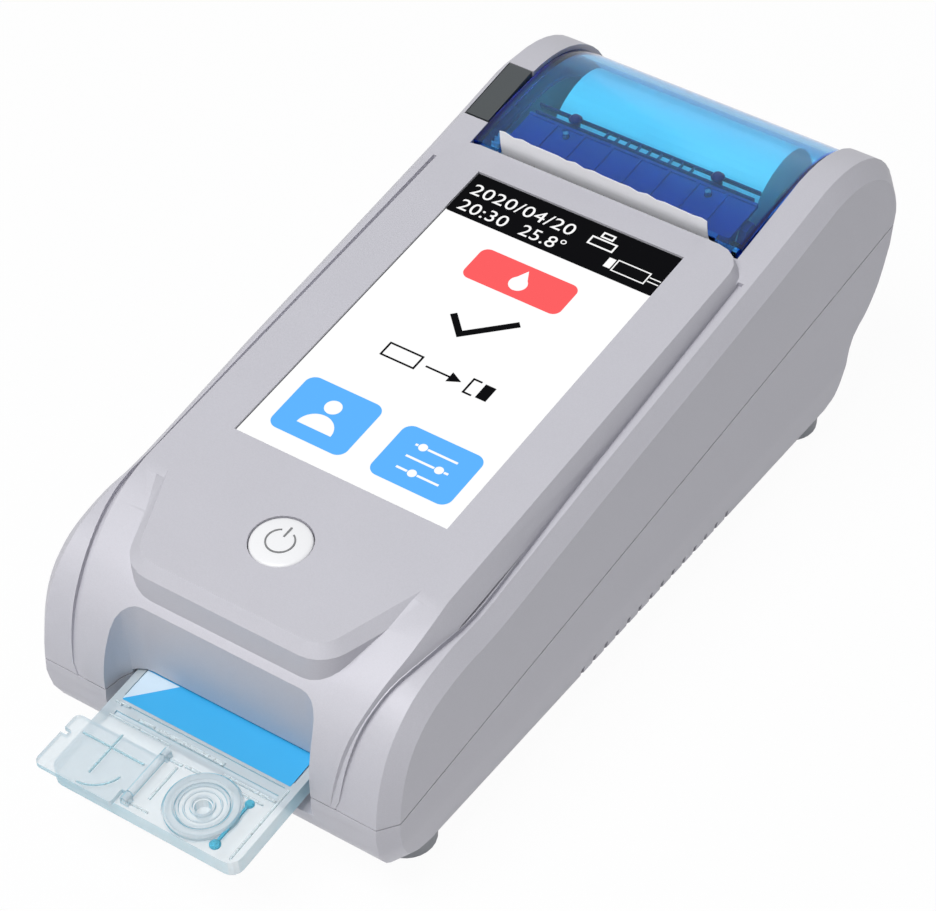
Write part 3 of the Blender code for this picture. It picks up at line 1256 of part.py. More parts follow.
def gear_centers():
    """Side-view centres of the platen gear, the idler and the motor's pinion."""
    platen = Vector((PLATEN_Y, PLATEN_Z))
    motor = platen - Vector((0, MOTOR_DROP))
    platen_to_idler = GEAR_MODULE * (PLATEN_TEETH + IDLER_TEETH) / 2
    idler_to_motor = GEAR_MODULE * (IDLER_TEETH + PINION_TEETH) / 2
    down = (platen_to_idler ** 2 - idler_to_motor ** 2 + MOTOR_DROP ** 2) / (2 * MOTOR_DROP)
    forward = sqrt(platen_to_idler ** 2 - down ** 2)
    return platen, platen - Vector((forward, down)), motor


def gear(teeth, center, phase, bore):
    """A spur gear round a side-view centre, with a tooth pointing along phase."""
    root = GEAR_MODULE * (teeth / 2 - 1.25)
    tip = GEAR_MODULE * (teeth / 2 + 0.9)
    pitch = 2 * pi / teeth
    outline = []
    for tooth in range(teeth):
        middle = phase + tooth * pitch
        for share, radius in ((-TOOTH_ROOT_SHARE, root), (-TOOTH_TIP_SHARE, tip), (TOOTH_TIP_SHARE, tip),
                              (TOOTH_ROOT_SHARE, root)):
            angle = middle + share * pitch
            outline.append((center[0] + radius * cos(angle), center[1] + radius * sin(angle)))
    wheel = side_plate(outline, gear_left(), gear_left() + GEAR_WIDTH)
    cut = [cylinder(bore, gear_left() - 0.001, gear_left() + GEAR_WIDTH + 0.001, center, 'X', segments=20)]
    if teeth > PINION_TEETH:
        inner = bore + 0.0012
        outer = root - 0.0009
        depth = gear_left() + GEAR_WIDTH * 0.3
        ring = [(outer, depth), (outer, -0.05), (inner, -0.05), (inner, depth), (outer, depth)]
        cut.append(turned(ring, (0, *center), 'X', 24))
    return wheel, cut


def meshed_phase(phase, teeth, direction, other_teeth):
    """The phase of a second gear so that its gap takes the first gear's tooth."""
    offset = (phase - direction) % (2 * pi / teeth)
    return direction + pi - offset * teeth / other_teeth + pi / other_teeth


def gear_left():
    return -(FRAME_INNER_HALF_WIDTH + FRAME_WALL + GEAR_SIDE_GAP + GEAR_WIDTH)


def direction(start, end):
    return atan2(end[1] - start[1], end[0] - start[0])


def drive_pieces():
    platen, idler, motor = gear_centers()
    pinion_phase = direction(motor, idler)
    idler_phase = meshed_phase(pinion_phase, PINION_TEETH, direction(motor, idler), IDLER_TEETH)
    platen_phase = meshed_phase(idler_phase, IDLER_TEETH, direction(idler, platen), PLATEN_TEETH)
    for name, teeth, center, phase, bore in (
            ("platen_gear", PLATEN_TEETH, platen, platen_phase, PLATEN_SHAFT + TOUCH_GAP),
            ("idler_gear", IDLER_TEETH, idler, idler_phase, IDLER_SHAFT_RADIUS + TOUCH_GAP),
            ("motor_pinion", PINION_TEETH, motor, pinion_phase, MOTOR_SHAFT_RADIUS + TOUCH_GAP)):
        wheel, cuts = gear(teeth, center, phase, bore)
        finish(wheel, name, "gear_white", origin=(0, *center))
        cut_from(wheel, *cuts)
    left = gear_left()
    wall_inner = -FRAME_INNER_HALF_WIDTH
    head_end = left - TOUCH_GAP - IDLER_HEAD_THICKNESS
    profile = [(0, wall_inner), (IDLER_SHAFT_RADIUS, wall_inner), (IDLER_SHAFT_RADIUS, left - TOUCH_GAP),
               (IDLER_HEAD_RADIUS, left - TOUCH_GAP), (IDLER_HEAD_RADIUS, head_end), (0, head_end)]
    finish(turned(profile, (0, *idler), 'X', 16), "idler_shaft", "steel")
    can_end = wall_inner + TOUCH_GAP
    boss_end = wall_inner - FRAME_WALL * 0.8
    can_back = can_end + MOTOR_LENGTH
    profile = [(0, can_back), (MOTOR_RADIUS - MOTOR_EDGE, can_back), (MOTOR_RADIUS, can_back - MOTOR_EDGE),
               (MOTOR_RADIUS, can_end), (MOTOR_BOSS_RADIUS, can_end), (MOTOR_BOSS_RADIUS, boss_end),
               (0, boss_end)]
    can = turned(profile, (0, *motor), 'X', 32)
    finish(can, "feed_motor", "steel")
    bore_end = can_end + MOTOR_SHAFT_BORE
    bore_radius = MOTOR_SHAFT_RADIUS + TOUCH_GAP
    cut_from(can, cylinder(bore_radius, boss_end - 0.001, bore_end, motor, 'X', segments=16))
    shaft = cylinder(MOTOR_SHAFT_RADIUS, left - TOUCH_GAP, bore_end - TOUCH_GAP, motor, 'X', segments=16)
    finish(shaft, "motor_shaft", "steel", origin=(0, *motor))
    roller_half = PLATEN_LENGTH / 2
    shaft_hole = PLATEN_SHAFT + TOUCH_GAP
    ring = [(PLATEN_RADIUS, roller_half), (PLATEN_RADIUS, -roller_half), (shaft_hole, -roller_half),
            (shaft_hole, roller_half), (PLATEN_RADIUS, roller_half)]
    finish(turned(ring, (0, *platen), 'X', 32), "platen_roller", "rubber_black", origin=(0, *platen))
    right = FRAME_INNER_HALF_WIDTH + FRAME_WALL + 0.0010
    rod = cylinder(PLATEN_SHAFT, left - TOUCH_GAP, right, platen, 'X', segments=20)
    finish(rod, "platen_shaft", "steel", origin=(0, *platen))
    for side, name in ((-1, "platen_bushing_left"), (1, "platen_bushing_right")):
        middle = side * (FRAME_INNER_HALF_WIDTH + FRAME_WALL / 2)
        low, high = middle - BUSHING_WIDTH / 2, middle + BUSHING_WIDTH / 2
        ring = [(BUSHING_RADIUS, high), (BUSHING_RADIUS, low), (shaft_hole, low), (shaft_hole, high),
                (BUSHING_RADIUS, high)]
        finish(turned(ring, (0, *platen), 'X', 20), name, "black_plastic")


def frame_rear():
    return ROLL_Y + ROLL_RADIUS + TROUGH_GAP + TROUGH_WALL


def printer_frame():
    """The printer's tub: a trough for the roll and a bay for head, platen and motor."""
    rear = frame_rear()
    outline = [(FRAME_FRONT, FRAME_BOTTOM + 0.005), (FRAME_FRONT + 0.006, FRAME_BOTTOM),
               (rear - 0.0078, FRAME_BOTTOM), (rear, FRAME_BOTTOM + 0.0072), (rear, TROUGH_TOP - 0.010),
               (rear - 0.0050, TROUGH_TOP), (PLATEN_Y + 0.0138, TROUGH_TOP),
               (PLATEN_Y + 0.0103, TROUGH_TOP + 0.003), (PLATEN_Y + 0.0078, FRAME_TOP),
               (FRAME_FRONT, FRAME_TOP)]
    outer = FRAME_INNER_HALF_WIDTH + FRAME_WALL
    frame = side_plate(outline, -outer, outer)
    finish(frame, "printer_frame", "frame_blue")
    inner = FRAME_INNER_HALF_WIDTH
    trough_radius = ROLL_RADIUS + TROUGH_GAP
    trough_front = ROLL_Y - trough_radius
    cut_from(frame,
             cylinder(trough_radius, -inner, inner, (ROLL_Y, ROLL_Z), 'X', segments=48),
             box((-inner, trough_front, ROLL_Z), (inner, ROLL_Y + trough_radius, 0)),
             box((-inner, FRAME_FRONT + FRAME_WALL, FRAME_FLOOR), (inner, trough_front - TROUGH_WALL, 0)),
             box((-inner, trough_front - TROUGH_WALL - 0.001, TROUGH_TOP - TROUGH_LIP_DROP),
                 (inner, trough_front + 0.001, 0)),
             box((-inner, FRAME_FRONT + FRAME_WALL, FRAME_BOTTOM - 0.001),
                 (inner, PLATEN_Y + MOTOR_RADIUS + 0.001, motor_room_top())))
    slot_half = BUSHING_RADIUS + TOUCH_GAP
    rise = -PLATEN_Z + 0.002
    slot = [(PLATEN_Y + slot_half + rise * sin(SLOT_SLOPE) / cos(SLOT_SLOPE), PLATEN_Z + rise),
            (PLATEN_Y - slot_half, PLATEN_Z + rise)]
    slot += ellipse_arc((PLATEN_Y, PLATEN_Z), (slot_half, slot_half), pi, 2 * pi, 10)
    cut_from(frame, side_plate(slot, -outer - 0.001, outer + 0.001))
    idler, motor = gear_centers()[1:]
    cut_from(frame, cylinder(MOTOR_BOSS_RADIUS + TOUCH_GAP, -outer - 0.001, -inner + 0.001, motor, 'X'),
             cylinder(IDLER_SHAFT_RADIUS + TOUCH_GAP, -outer - 0.001, -inner + 0.001, idler, 'X'))
    add_to(frame, box((-inner, FRAME_FRONT + 0.0005, FRAME_TOP - TROUGH_WALL),
                      (inner, tear_bar_y() - HEAD_GAP, FRAME_TOP)))
    for y in (FRONT_EAR_Y, REAR_EAR_Y):
        half = FRAME_EAR_SIZE / 2
        for side in (-1, 1):
            near, far = sorted((side * (outer - 0.0005), side * (outer + POST_RADIUS * 2)))
            add_to(frame, box((near, y - half, EAR_TOP - FRAME_EAR_THICKNESS), (far, y + half, EAR_TOP)))


def motor_room_top():
    return PLATEN_Z - MOTOR_DROP + MOTOR_RADIUS + TOUCH_GAP


def tear_bar_y():
    return PAPER_EXIT_Y - PAPER_THICKNESS / 2 - TEAR_BAR_OFFSET


def head_pieces():
    """Thermal head, its plate and springs, and the serrated bar that the paper is torn on."""
    arc_radius = PLATEN_RADIUS + PLATEN_PAPER_GAP + PAPER_THICKNESS / 2
    head_face = PLATEN_Y - arc_radius - PAPER_THICKNESS / 2 - PLATEN_PAPER_GAP
    head = box((-HEAD_HALF_WIDTH, head_face - HEAD_THICKNESS, HEAD_BOTTOM),
               (HEAD_HALF_WIDTH, head_face, HEAD_TOP))
    finish(head, "thermal_head", "ceramic")
    plate_face = head_face - HEAD_THICKNESS - TOUCH_GAP
    plate_back = plate_face - HEAD_PLATE_THICKNESS
    plate = box((-HEAD_HALF_WIDTH - 0.001, plate_back, FRAME_FLOOR + TOUCH_GAP),
                (HEAD_HALF_WIDTH + 0.001, plate_face, HEAD_PLATE_TOP))
    finish(plate, "head_plate", "aluminium")
    front = FRAME_FRONT + FRAME_WALL + TOUCH_GAP + HEAD_SPRING_WIRE
    rear = plate_back - TOUCH_GAP - HEAD_SPRING_WIRE
    for side, name in ((-1, "head_spring_left"), (1, "head_spring_right")):
        finish(coil(side * HEAD_SPRING_X, front, rear), name, "steel")
    back = tear_bar_y()
    foot_top = FRAME_TOP + TOUCH_GAP + TEAR_BAR_THICKNESS
    foot_bottom = FRAME_TOP + TOUCH_GAP
    half = FRAME_INNER_HALF_WIDTH - 0.0005
    profile = [(FRAME_FRONT + 0.001, foot_bottom), (back + TEAR_BAR_THICKNESS, foot_bottom),
               (back + TEAR_BAR_THICKNESS, TEAR_BAR_TOP), (back, TEAR_BAR_TOP), (back, foot_top),
               (FRAME_FRONT + 0.001, foot_top)]
    bar = side_plate(profile, -half, half)
    finish(bar, "tear_bar", "steel")
    count = int(2 * half / TEAR_TOOTH_PITCH)
    start = -count * TEAR_TOOTH_PITCH / 2
    teeth = [(-half - 0.001, TEAR_BAR_TOP + 0.001), (-half - 0.001, TEAR_BAR_TOP - 0.0001)]
    for index in range(count):
        x = start + index * TEAR_TOOTH_PITCH
        teeth += [(x, TEAR_BAR_TOP - TEAR_TOOTH_HEIGHT), (x + TEAR_TOOTH_PITCH / 2, TEAR_BAR_TOP - 0.0001)]
    teeth += [(half + 0.001, TEAR_BAR_TOP - TEAR_TOOTH_HEIGHT), (half + 0.001, TEAR_BAR_TOP + 0.001)]
    cut_from(bar, front_plate(teeth, back - 0.002, back + 0.002))


def coil(x, front, rear):
    """A round compression spring along Y, made from a thin wire."""
    curve = bpy.data.curves.new("coil", 'CURVE')
    curve.dimensions = '3D'
    curve.bevel_depth = HEAD_SPRING_WIRE
    curve.bevel_resolution = 1
    curve.use_fill_caps = True
    spline = curve.splines.new('POLY')
    steps = HEAD_SPRING_TURNS * 10
    spline.points.add(steps)
    for index, point in enumerate(spline.points):
        angle = 2 * pi * HEAD_SPRING_TURNS * index / steps
        point.co = (x + HEAD_SPRING_RADIUS * cos(angle), front + (rear - front) * index / steps,
                    HEAD_SPRING_Z + HEAD_SPRING_RADIUS * sin(angle), 1)
    guide = bpy.data.objects.new("coil", curve)
    scene_root.objects.link(guide)
    graph = bpy.context.evaluated_depsgraph_get()
    mesh = bpy.data.meshes.new_from_object(guide.evaluated_get(graph))
    bpy.data.objects.remove(guide, do_unlink=True)
    edit = bmesh.new()
    edit.from_mesh(mesh)
    bmesh.ops.remove_doubles(edit, verts=edit.verts, dist=0.00001)
    return from_bmesh(edit)


def paper_pieces():
    half = PAPER_WIDTH / 2
    core_hole = ROLL_CORE - ROLL_CORE_WALL
    roll_hole = ROLL_CORE + TOUCH_GAP
    ring = [(ROLL_RADIUS, half), (ROLL_RADIUS, -half), (roll_hole, -half), (roll_hole, half),
            (ROLL_RADIUS, half)]
    center = (ROLL_Y, ROLL_Z)
    finish(turned(ring, (0, *center), 'X', 48), "paper_roll", "paper_white", origin=(0, *center))
    tube = [(ROLL_CORE, half), (ROLL_CORE, -half), (core_hole, -half), (core_hole, half), (ROLL_CORE, half)]
    finish(turned(tube, (0, *center), 'X', 24), "roll_core", "gear_white", origin=(0, *center))
    arc_radius = PLATEN_RADIUS + PLATEN_PAPER_GAP + PAPER_THICKNESS / 2
    leave = ROLL_RADIUS + 0.0005
    lead = [(ROLL_Y - leave * cos(radians(16)), ROLL_Z + leave * sin(radians(16))),
            (ROLL_Y - leave * cos(radians(16)) - 0.0040, TROUGH_TOP - 0.0010)]
    under = ellipse_arc((PLATEN_Y, PLATEN_Z), (arc_radius, arc_radius), radians(-72), radians(-178), 6)
    exit_path = [(PLATEN_Y - arc_radius - 0.0003, PLATEN_Z + 0.0022), (PAPER_EXIT_Y + 0.0018, -0.0055),
                 (PAPER_EXIT_Y + 0.0009, -0.0030), (PAPER_EXIT_Y + 0.0003, 0.0),
                 (PAPER_EXIT_Y + 0.0001, PAPER_STAND * 0.5), (PAPER_EXIT_Y, PAPER_STAND + 0.0010)]
    path = smooth_path(lead + under + exit_path, 2)
    outer = offset_path(path, PAPER_THICKNESS / 2)
    inner = offset_path(path, -PAPER_THICKNESS / 2)
    strip = side_plate(outer + inner[::-1], -half, half)
    finish(strip, "paper_strip", "paper_white")
    count = 24
    tear = [(half + 0.001, 0.02), (-half - 0.001, 0.02)]
    for index in range(count + 1):
        x = -half - 0.001 + (2 * half + 0.002) * index / count
        share = index / count
        ripple = 0.0002 * sin(index * 2.3) + (0.00018 if index % 2 else -0.00018)
        tear.append((x, PAPER_STAND * (1.05 - 0.33 * share) + ripple))
    cut_from(strip, front_plate(tear, PAPER_EXIT_Y - 0.01, PAPER_EXIT_Y + 0.01))


def extended(path, amount):
    """An open path with both ends carried straight on."""
    first, second = Vector(path[0]), Vector(path[1])
    last, before = Vector(path[-1]), Vector(path[-2])
    start = first + (first - second).normalized() * amount
    end = last + (last - before).normalized() * amount
    return [tuple(start)] + path + [tuple(end)]


def cover_path():
    """Side view of the printer cover's outer face, from its front edge to its rear edge."""
    front = [(COVER_FRONT, -COVER_FRONT_DROP), (COVER_FRONT + COVER_FLAT, -COVER_FLAT_DROP)]
    center = (HUMP_Y, -TAIL_DEPTH - 0.0005)
    radii = (TAIL_REACH - 0.0017, TAIL_DEPTH - COVER_SINK)
    return front + ellipse_arc(center, radii, radians(90), radians(9), 14)


def cover_pieces():
    path = cover_path()
    half = BAY_HALF_WIDTH - COVER_SIDE_GAP
    deep = offset_path(path, -COVER_FLANGE)
    cover = side_plate(path + deep[::-1], -half, half)
    axis = (0, HINGE_Y, HINGE_Z)
    finish(cover, "printer_cover", "cover_blue", origin=axis)
    longer = extended(path, 0.004)
    hollow = offset_path(longer, -COVER_WALL) + offset_path(longer, -COVER_FLANGE - 0.002)[::-1]
    cut_from(cover, side_plate(hollow, -half + COVER_FLANGE_WALL, half - COVER_FLANGE_WALL))
    shapes = []
    for side in (-1, 1):
        flange = half - COVER_FLANGE_WALL
        ends = sorted((side * (flange - 0.001), side * (flange - KNUCKLE_LENGTH)))
        shapes.append(cylinder(KNUCKLE_RADIUS, *ends, (HINGE_Y, HINGE_Z), 'X'))
    cuts = [cylinder(HINGE_PIN_RADIUS + TOUCH_GAP, -half - 0.001, half + 0.001, (HINGE_Y, HINGE_Z), 'X'),
            box((-PAPER_WIDTH / 2 - 0.0015, COVER_FRONT - 0.001, -0.0120),
                (PAPER_WIDTH / 2 + 0.0015, COVER_FRONT + PAPER_NOTCH, 0.0010))]
    for x in (-BRACKET_SCREW_X, BRACKET_SCREW_X):
        cuts.append(cylinder(BOARD_SCREW_RADIUS + TOUCH_GAP, -0.0080, bracket_top() + COVER_WALL * 0.6,
                             (x, BRACKET_SCREW_Y), segments=12))
    add_to(cover, *shapes)
    cut_from(cover, *cuts)
    finish(cylinder(HINGE_PIN_RADIUS, -HINGE_PIN_REACH, HINGE_PIN_REACH, (HINGE_Y, HINGE_Z), 'X'),
           "cover_hinge_pin", "steel")
    platen_bracket()


def bracket_top():
    """The lowest point of the cover's inner face over the bracket, less a fitting gap."""
    return -(COVER_FRONT_DROP + COVER_WALL + TOUCH_GAP)


def platen_bracket():
    """The plate under the cover whose ears carry the platen's shaft."""
    top = bracket_top() - BRACKET_RIB
    bottom = top - BRACKET_THICKNESS
    front = PLATEN_Y - 0.0030
    plate = box((-BRACKET_HALF_WIDTH, front, bottom), (BRACKET_HALF_WIDTH, BRACKET_REAR, top))
    axis = (0, HINGE_Y, HINGE_Z)
    finish(plate, "platen_bracket", "dark_grey", origin=axis)
    rib = BRACKET_RIB_HALF_WIDTH
    foot = bottom + 0.0002
    shapes = [box((x - rib, front, foot), (x + rib, BRACKET_REAR, bracket_top()))
              for x in [index * BRACKET_RIB_PITCH for index in range(-3, 4)]]
    shapes += [box((-BRACKET_HALF_WIDTH, y - rib, foot), (BRACKET_HALF_WIDTH, y + rib, bracket_top()))
               for y in (front + rib, BRACKET_REAR - rib)]
    ear_radius = PLATEN_SHAFT + 0.0013
    outline = [(PLATEN_Y + 0.0065, foot), (front, foot)]
    outline += ellipse_arc((PLATEN_Y, PLATEN_Z), (ear_radius, ear_radius), pi, 2 * pi, 8)
    ear_inner = PLATEN_LENGTH / 2 + 0.0007
    for side in (-1, 1):
        shapes.append(side_plate(outline, *sorted((side * ear_inner, side * (ear_inner + BRACKET_EAR)))))
    reach = ear_inner + BRACKET_EAR + 0.001
    cuts = [cylinder(PLATEN_SHAFT + TOUCH_GAP, -reach, reach, (PLATEN_Y, PLATEN_Z), 'X', segments=20)]
    for x, name in ((-BRACKET_SCREW_X, "bracket_screw_left"), (BRACKET_SCREW_X, "bracket_screw_right")):
        cuts.append(cylinder(BOARD_SCREW_RADIUS + TOUCH_GAP, bottom - 0.001, 0, (x, BRACKET_SCREW_Y),
                             segments=12))
        profile = small_screw(bracket_top() + COVER_WALL * 0.6 - TOUCH_GAP, bottom - HEAD_GAP)
        finish(turned(profile, (x, BRACKET_SCREW_Y, 0), segments=12), name, "steel", origin=axis)
    add_to(plate, *shapes)
    cut_from(plate, *cuts)


def lever_pieces():
    outer = -CROWN_HALF_WIDTH + TOUCH_GAP * 1.5
    inner = -BAY_HALF_WIDTH - TOUCH_GAP
    crown = [point for point in crown_path() if LEVER_FRONT < point[0] < LEVER_REAR]
    tail = [point for point in tail_path() if HUMP_Y < point[0] < LEVER_REAR]
    top = tail + crown
    top = [(LEVER_REAR, top[0][1])] + top + [(LEVER_FRONT, top[-1][1])]
    under = offset_path(top, LEVER_WALL)
    axis = (0, LEVER_PIN_Y, -LEVER_PIN_DEPTH)
    lever = side_plate(top + under[::-1], outer, inner)
    finish(lever, "release_lever", "dark_grey", origin=axis)
    lug_left = outer + 0.0012
    lug_right = -(BAY_HALF_WIDTH + BAY_WALL + TOUCH_GAP * 3)
    outline = [(LEVER_PIN_Y + LEVER_LUG_RADIUS, -0.0025), (LEVER_PIN_Y - LEVER_LUG_RADIUS, -0.0025)]
    outline += ellipse_arc((LEVER_PIN_Y, -LEVER_PIN_DEPTH), (LEVER_LUG_RADIUS,) * 2, pi, 2 * pi, 8)
    lug = side_plate(outline, lug_left, lug_right)
    bore = cylinder(LEVER_PIN_RADIUS + TOUCH_GAP, lug_left - 0.001, lug_right + 0.001,
                    (LEVER_PIN_Y, -LEVER_PIN_DEPTH), 'X', segments=16)
    add_to(lever, lug)
    cut_from(lever, bore)
    pin = cylinder(LEVER_PIN_RADIUS, -CROWN_HALF_WIDTH - LEVER_PIN_END, -BAY_HALF_WIDTH - TOUCH_GAP * 2,
                   (LEVER_PIN_Y, -LEVER_PIN_DEPTH), 'X', segments=16)
    finish(pin, "lever_pin", "steel")


housing_top()
housing_bottom()
screen_pieces()
button_pieces()
card_pieces()
guide_pieces()
power_jack()
floor_pieces()
paper_pieces()
printer_frame()
drive_pieces()
head_pieces()
cover_pieces()
lever_pieces()
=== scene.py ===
"""Looks for a portable blood gas analyzer, laid out as a Blender add-on.

The sloping top face is the deck. Pieces on it are modelled square to it, in millimetres from the middle
of the screen, and then turned into place over the floor.
"""

from math import cos, pi, radians, sin

import bmesh
import bpy
from bpy.props import FloatProperty, FloatVectorProperty, PointerProperty
from mathutils import Matrix, Vector


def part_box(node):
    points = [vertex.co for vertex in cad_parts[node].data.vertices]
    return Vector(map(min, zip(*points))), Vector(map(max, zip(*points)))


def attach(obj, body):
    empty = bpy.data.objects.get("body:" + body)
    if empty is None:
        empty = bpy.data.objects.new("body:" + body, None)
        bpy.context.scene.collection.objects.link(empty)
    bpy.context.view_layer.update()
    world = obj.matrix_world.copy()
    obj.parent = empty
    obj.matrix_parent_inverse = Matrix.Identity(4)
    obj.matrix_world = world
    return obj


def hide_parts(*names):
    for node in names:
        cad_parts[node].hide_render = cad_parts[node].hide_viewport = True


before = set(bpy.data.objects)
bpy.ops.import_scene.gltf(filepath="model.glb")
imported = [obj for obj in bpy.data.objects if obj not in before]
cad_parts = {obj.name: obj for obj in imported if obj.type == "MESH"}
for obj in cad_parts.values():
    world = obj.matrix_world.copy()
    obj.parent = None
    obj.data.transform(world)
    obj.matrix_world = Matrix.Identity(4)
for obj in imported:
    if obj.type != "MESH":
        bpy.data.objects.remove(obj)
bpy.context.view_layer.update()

bl_info = {
    "name": "Blood Gas Analyzer",
    "version": (1, 0, 0),
    "blender": (4, 5, 0),
    "location": "3D View > Sidebar > Analyzer",
    "description": "Shells, screen, sensor card, printer cover and finishes of a portable blood gas analyzer",
    "category": "Object",
}

MM = 0.001

# The deck's slope, and places on it in its own millimetres
TILT = radians(7.05)
GLASS_MIDDLE_DEPTH = 1.15
SCREEN_DEPTH = -0.6
BUTTON_Y = -70.6
BUTTON_RADIUS = 7.1
BUTTON_FLANGE_RADIUS = 8.4
BUTTON_STEM_RADIUS = 2.4
NOTCH_END = -68.6
NOTCH_TOP = -0.52
NOTCH_INNER_X = 33.4
NOTCH_OUTER_X = 38.1
CARD_TOP = -34.0
CAP_TOP = -32.3
PORT = (10.0, -117.8)
FILM_HALF_WIDTH = 22.8
FILM_FRONT = -103.6
FILM_REAR = -71.0
HINGE_BAR_X = 18.2
BRACKET_TOP = -4.0
BRACKET_BAR_DROP = 0.6
COVER_HALF_WIDTH = 37.4
COVER_DEEP_Y = 63.0
COVER_CLEAR_Y = 84.0

# The studio, in metres, watts and degrees
LAMPS = (("key", (-0.1, -0.7, 1.35), 17.0),
         ("fill", (1.3, -0.5, 0.3), 0.3),
         ("rear", (-0.2, 1.1, 0.8), 1.0))
LAMP_SIZE = 0.7
SKY_LEVEL = 0.26
FLOOR_SIZE = 12
FLOOR_GLOW = 0.96
CAMERA_PLACE = (0.312631, -0.485408, 0.549695)
CAMERA_TURN = (48.5242, -1.3485, 33.8247)
CAMERA_SENSOR = 36.0
CAMERA_LENS = 126.92

glass_low, glass_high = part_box("touch_glass")
DECK = (Matrix.Translation((glass_low + glass_high) / 2) @ Matrix.Rotation(TILT, 4, 'X')
        @ Matrix.Translation((0, 0, GLASS_MIDDLE_DEPTH * MM)) @ Matrix.Scale(MM, 4))


def world_y(y, z):
    """How far back a point of the deck's frame lies, in metres."""
    return (DECK @ Vector((0, y, z))).y


def srgb(red, green, blue):
    """A screen colour, 0 to 255, as the linear colour that Blender works in."""
    return tuple((value / 255 / 12.92) if value < 11 else ((value / 255 + 0.055) / 1.055) ** 2.4
                 for value in (red, green, blue))


class AnalyzerSizes(bpy.types.PropertyGroup):
    shell_edge: FloatProperty(name="Shell edges", description="Round on the shells' edges",
                              default=0.00035, unit='LENGTH')
    screen_width: FloatProperty(name="Screen width", description="Width of the lit screen",
                                default=0.0566, unit='LENGTH')
    screen_length: FloatProperty(name="Screen length", description="Length of the lit screen",
                                 default=0.0976, unit='LENGTH')
    status_bar: FloatProperty(name="Status bar", description="Length of the black bar at the screen's head",
                              default=0.0142, unit='LENGTH')
    cover_edge: FloatProperty(name="Cover edges", description="Round on the printer cover's edges",
                              default=0.00045, unit='LENGTH')


class AnalyzerColors(bpy.types.PropertyGroup):
    shell: FloatVectorProperty(name="Shell", description="Silver plastic of the shells",
                               default=srgb(196, 195, 202), subtype='COLOR', min=0, max=1)
    cover: FloatVectorProperty(name="Cover", description="Clear blue plastic of the printer cover",
                               default=srgb(142, 229, 250), subtype='COLOR', min=0, max=1)
    cover_rim: FloatVectorProperty(name="Cover rim", description="Deeper blue seen along the cover's rim",
                                   default=srgb(24, 76, 205), subtype='COLOR', min=0, max=1)
    label: FloatVectorProperty(name="Card label", description="Printed film on the sensor card",
                               default=srgb(56, 172, 230), subtype='COLOR', min=0, max=1)
    card: FloatVectorProperty(name="Card", description="Clear plastic of the sensor card",
                              default=srgb(228, 238, 243), subtype='COLOR', min=0, max=1)
    card_rim: FloatVectorProperty(name="Card rim", description="Aqua seen along the card's edges",
                                  default=srgb(96, 192, 216), subtype='COLOR', min=0, max=1)
    lever: FloatVectorProperty(name="Lever", description="Grey plastic of the release lever",
                               default=srgb(62, 67, 69), subtype='COLOR', min=0, max=1)
    screen_button: FloatVectorProperty(name="Screen keys", description="Blue keys drawn on the screen",
                                       default=srgb(94, 178, 255), subtype='COLOR', min=0, max=1)
    screen_badge: FloatVectorProperty(name="Screen badge", description="Red badge drawn on the screen",
                                      default=srgb(250, 95, 97), subtype='COLOR', min=0, max=1)


def sizes():
    return bpy.context.scene.analyzer_sizes


def colors():
    return bpy.context.scene.analyzer_colors


# Shader expressions

class Socket:
    """A value in a node tree, written in plain arithmetic."""

    def __init__(self, nodes, output):
        self.nodes = nodes
        self.output = output

    def __add__(self, other):
        return self.nodes.math('ADD', self, other)

    def __radd__(self, other):
        return self.nodes.math('ADD', other, self)

    def __sub__(self, other):
        return self.nodes.math('SUBTRACT', self, other)

    def __rsub__(self, other):
        return self.nodes.math('SUBTRACT', other, self)

    def __mul__(self, other):
        return self.nodes.math('MULTIPLY', self, other)

    def __rmul__(self, other):
        return self.nodes.math('MULTIPLY', other, self)

    def __truediv__(self, other):
        return self.nodes.math('DIVIDE', self, other)

    def __pow__(self, other):
        return self.nodes.math('POWER', self, other)

    def clipped(self):
        return self.nodes.node('ShaderNodeMath', {"operation": 'ADD', "use_clamp": True}, {0: self, 1: 0.0})


class Nodes:
    """The node tree of a material or of the world."""

    def __init__(self, tree):
        self.tree = tree

    def feed(self, socket, value):
        """Give a socket a number, a colour or a link."""
        if isinstance(value, Socket):
            self.tree.links.new(value.output, socket)
        elif socket.type == 'RGBA' and len(value) == 3:
            socket.default_value = (*value, 1.0)
        else:
            socket.default_value = value

    def node(self, kind, settings, sockets, output=0):
        """Add any node: its settings first, then what its sockets take."""
        node = self.tree.nodes.new(kind)
        for name, value in settings.items():
            setattr(node, name, value)
        for name, value in sockets.items():
            self.feed(node.inputs[name], value)
        return Socket(self, node.outputs[output])

    def math(self, operation, first, second):
        return self.node('ShaderNodeMath', {"operation": operation}, {0: first, 1: second})

    def seen(self):
        """1 where the eye looks straight on, or through a mirror or clear plastic; 0 for the light."""
        path = self.tree.nodes.new('ShaderNodeLightPath').outputs
        eye, mirror, clear = (Socket(self, path["Is %s Ray" % kind])
                              for kind in ("Camera", "Glossy", "Transmission"))
        return (eye + mirror + clear).clipped()

    def blend_surface(self, share, first, second, end):
        """Mix two shaders and send them to the tree's output node."""
        mixed = self.node('ShaderNodeMixShader', {}, {0: share, 1: first, 2: second})
        self.feed(self.tree.nodes[end].inputs["Surface"], mixed)


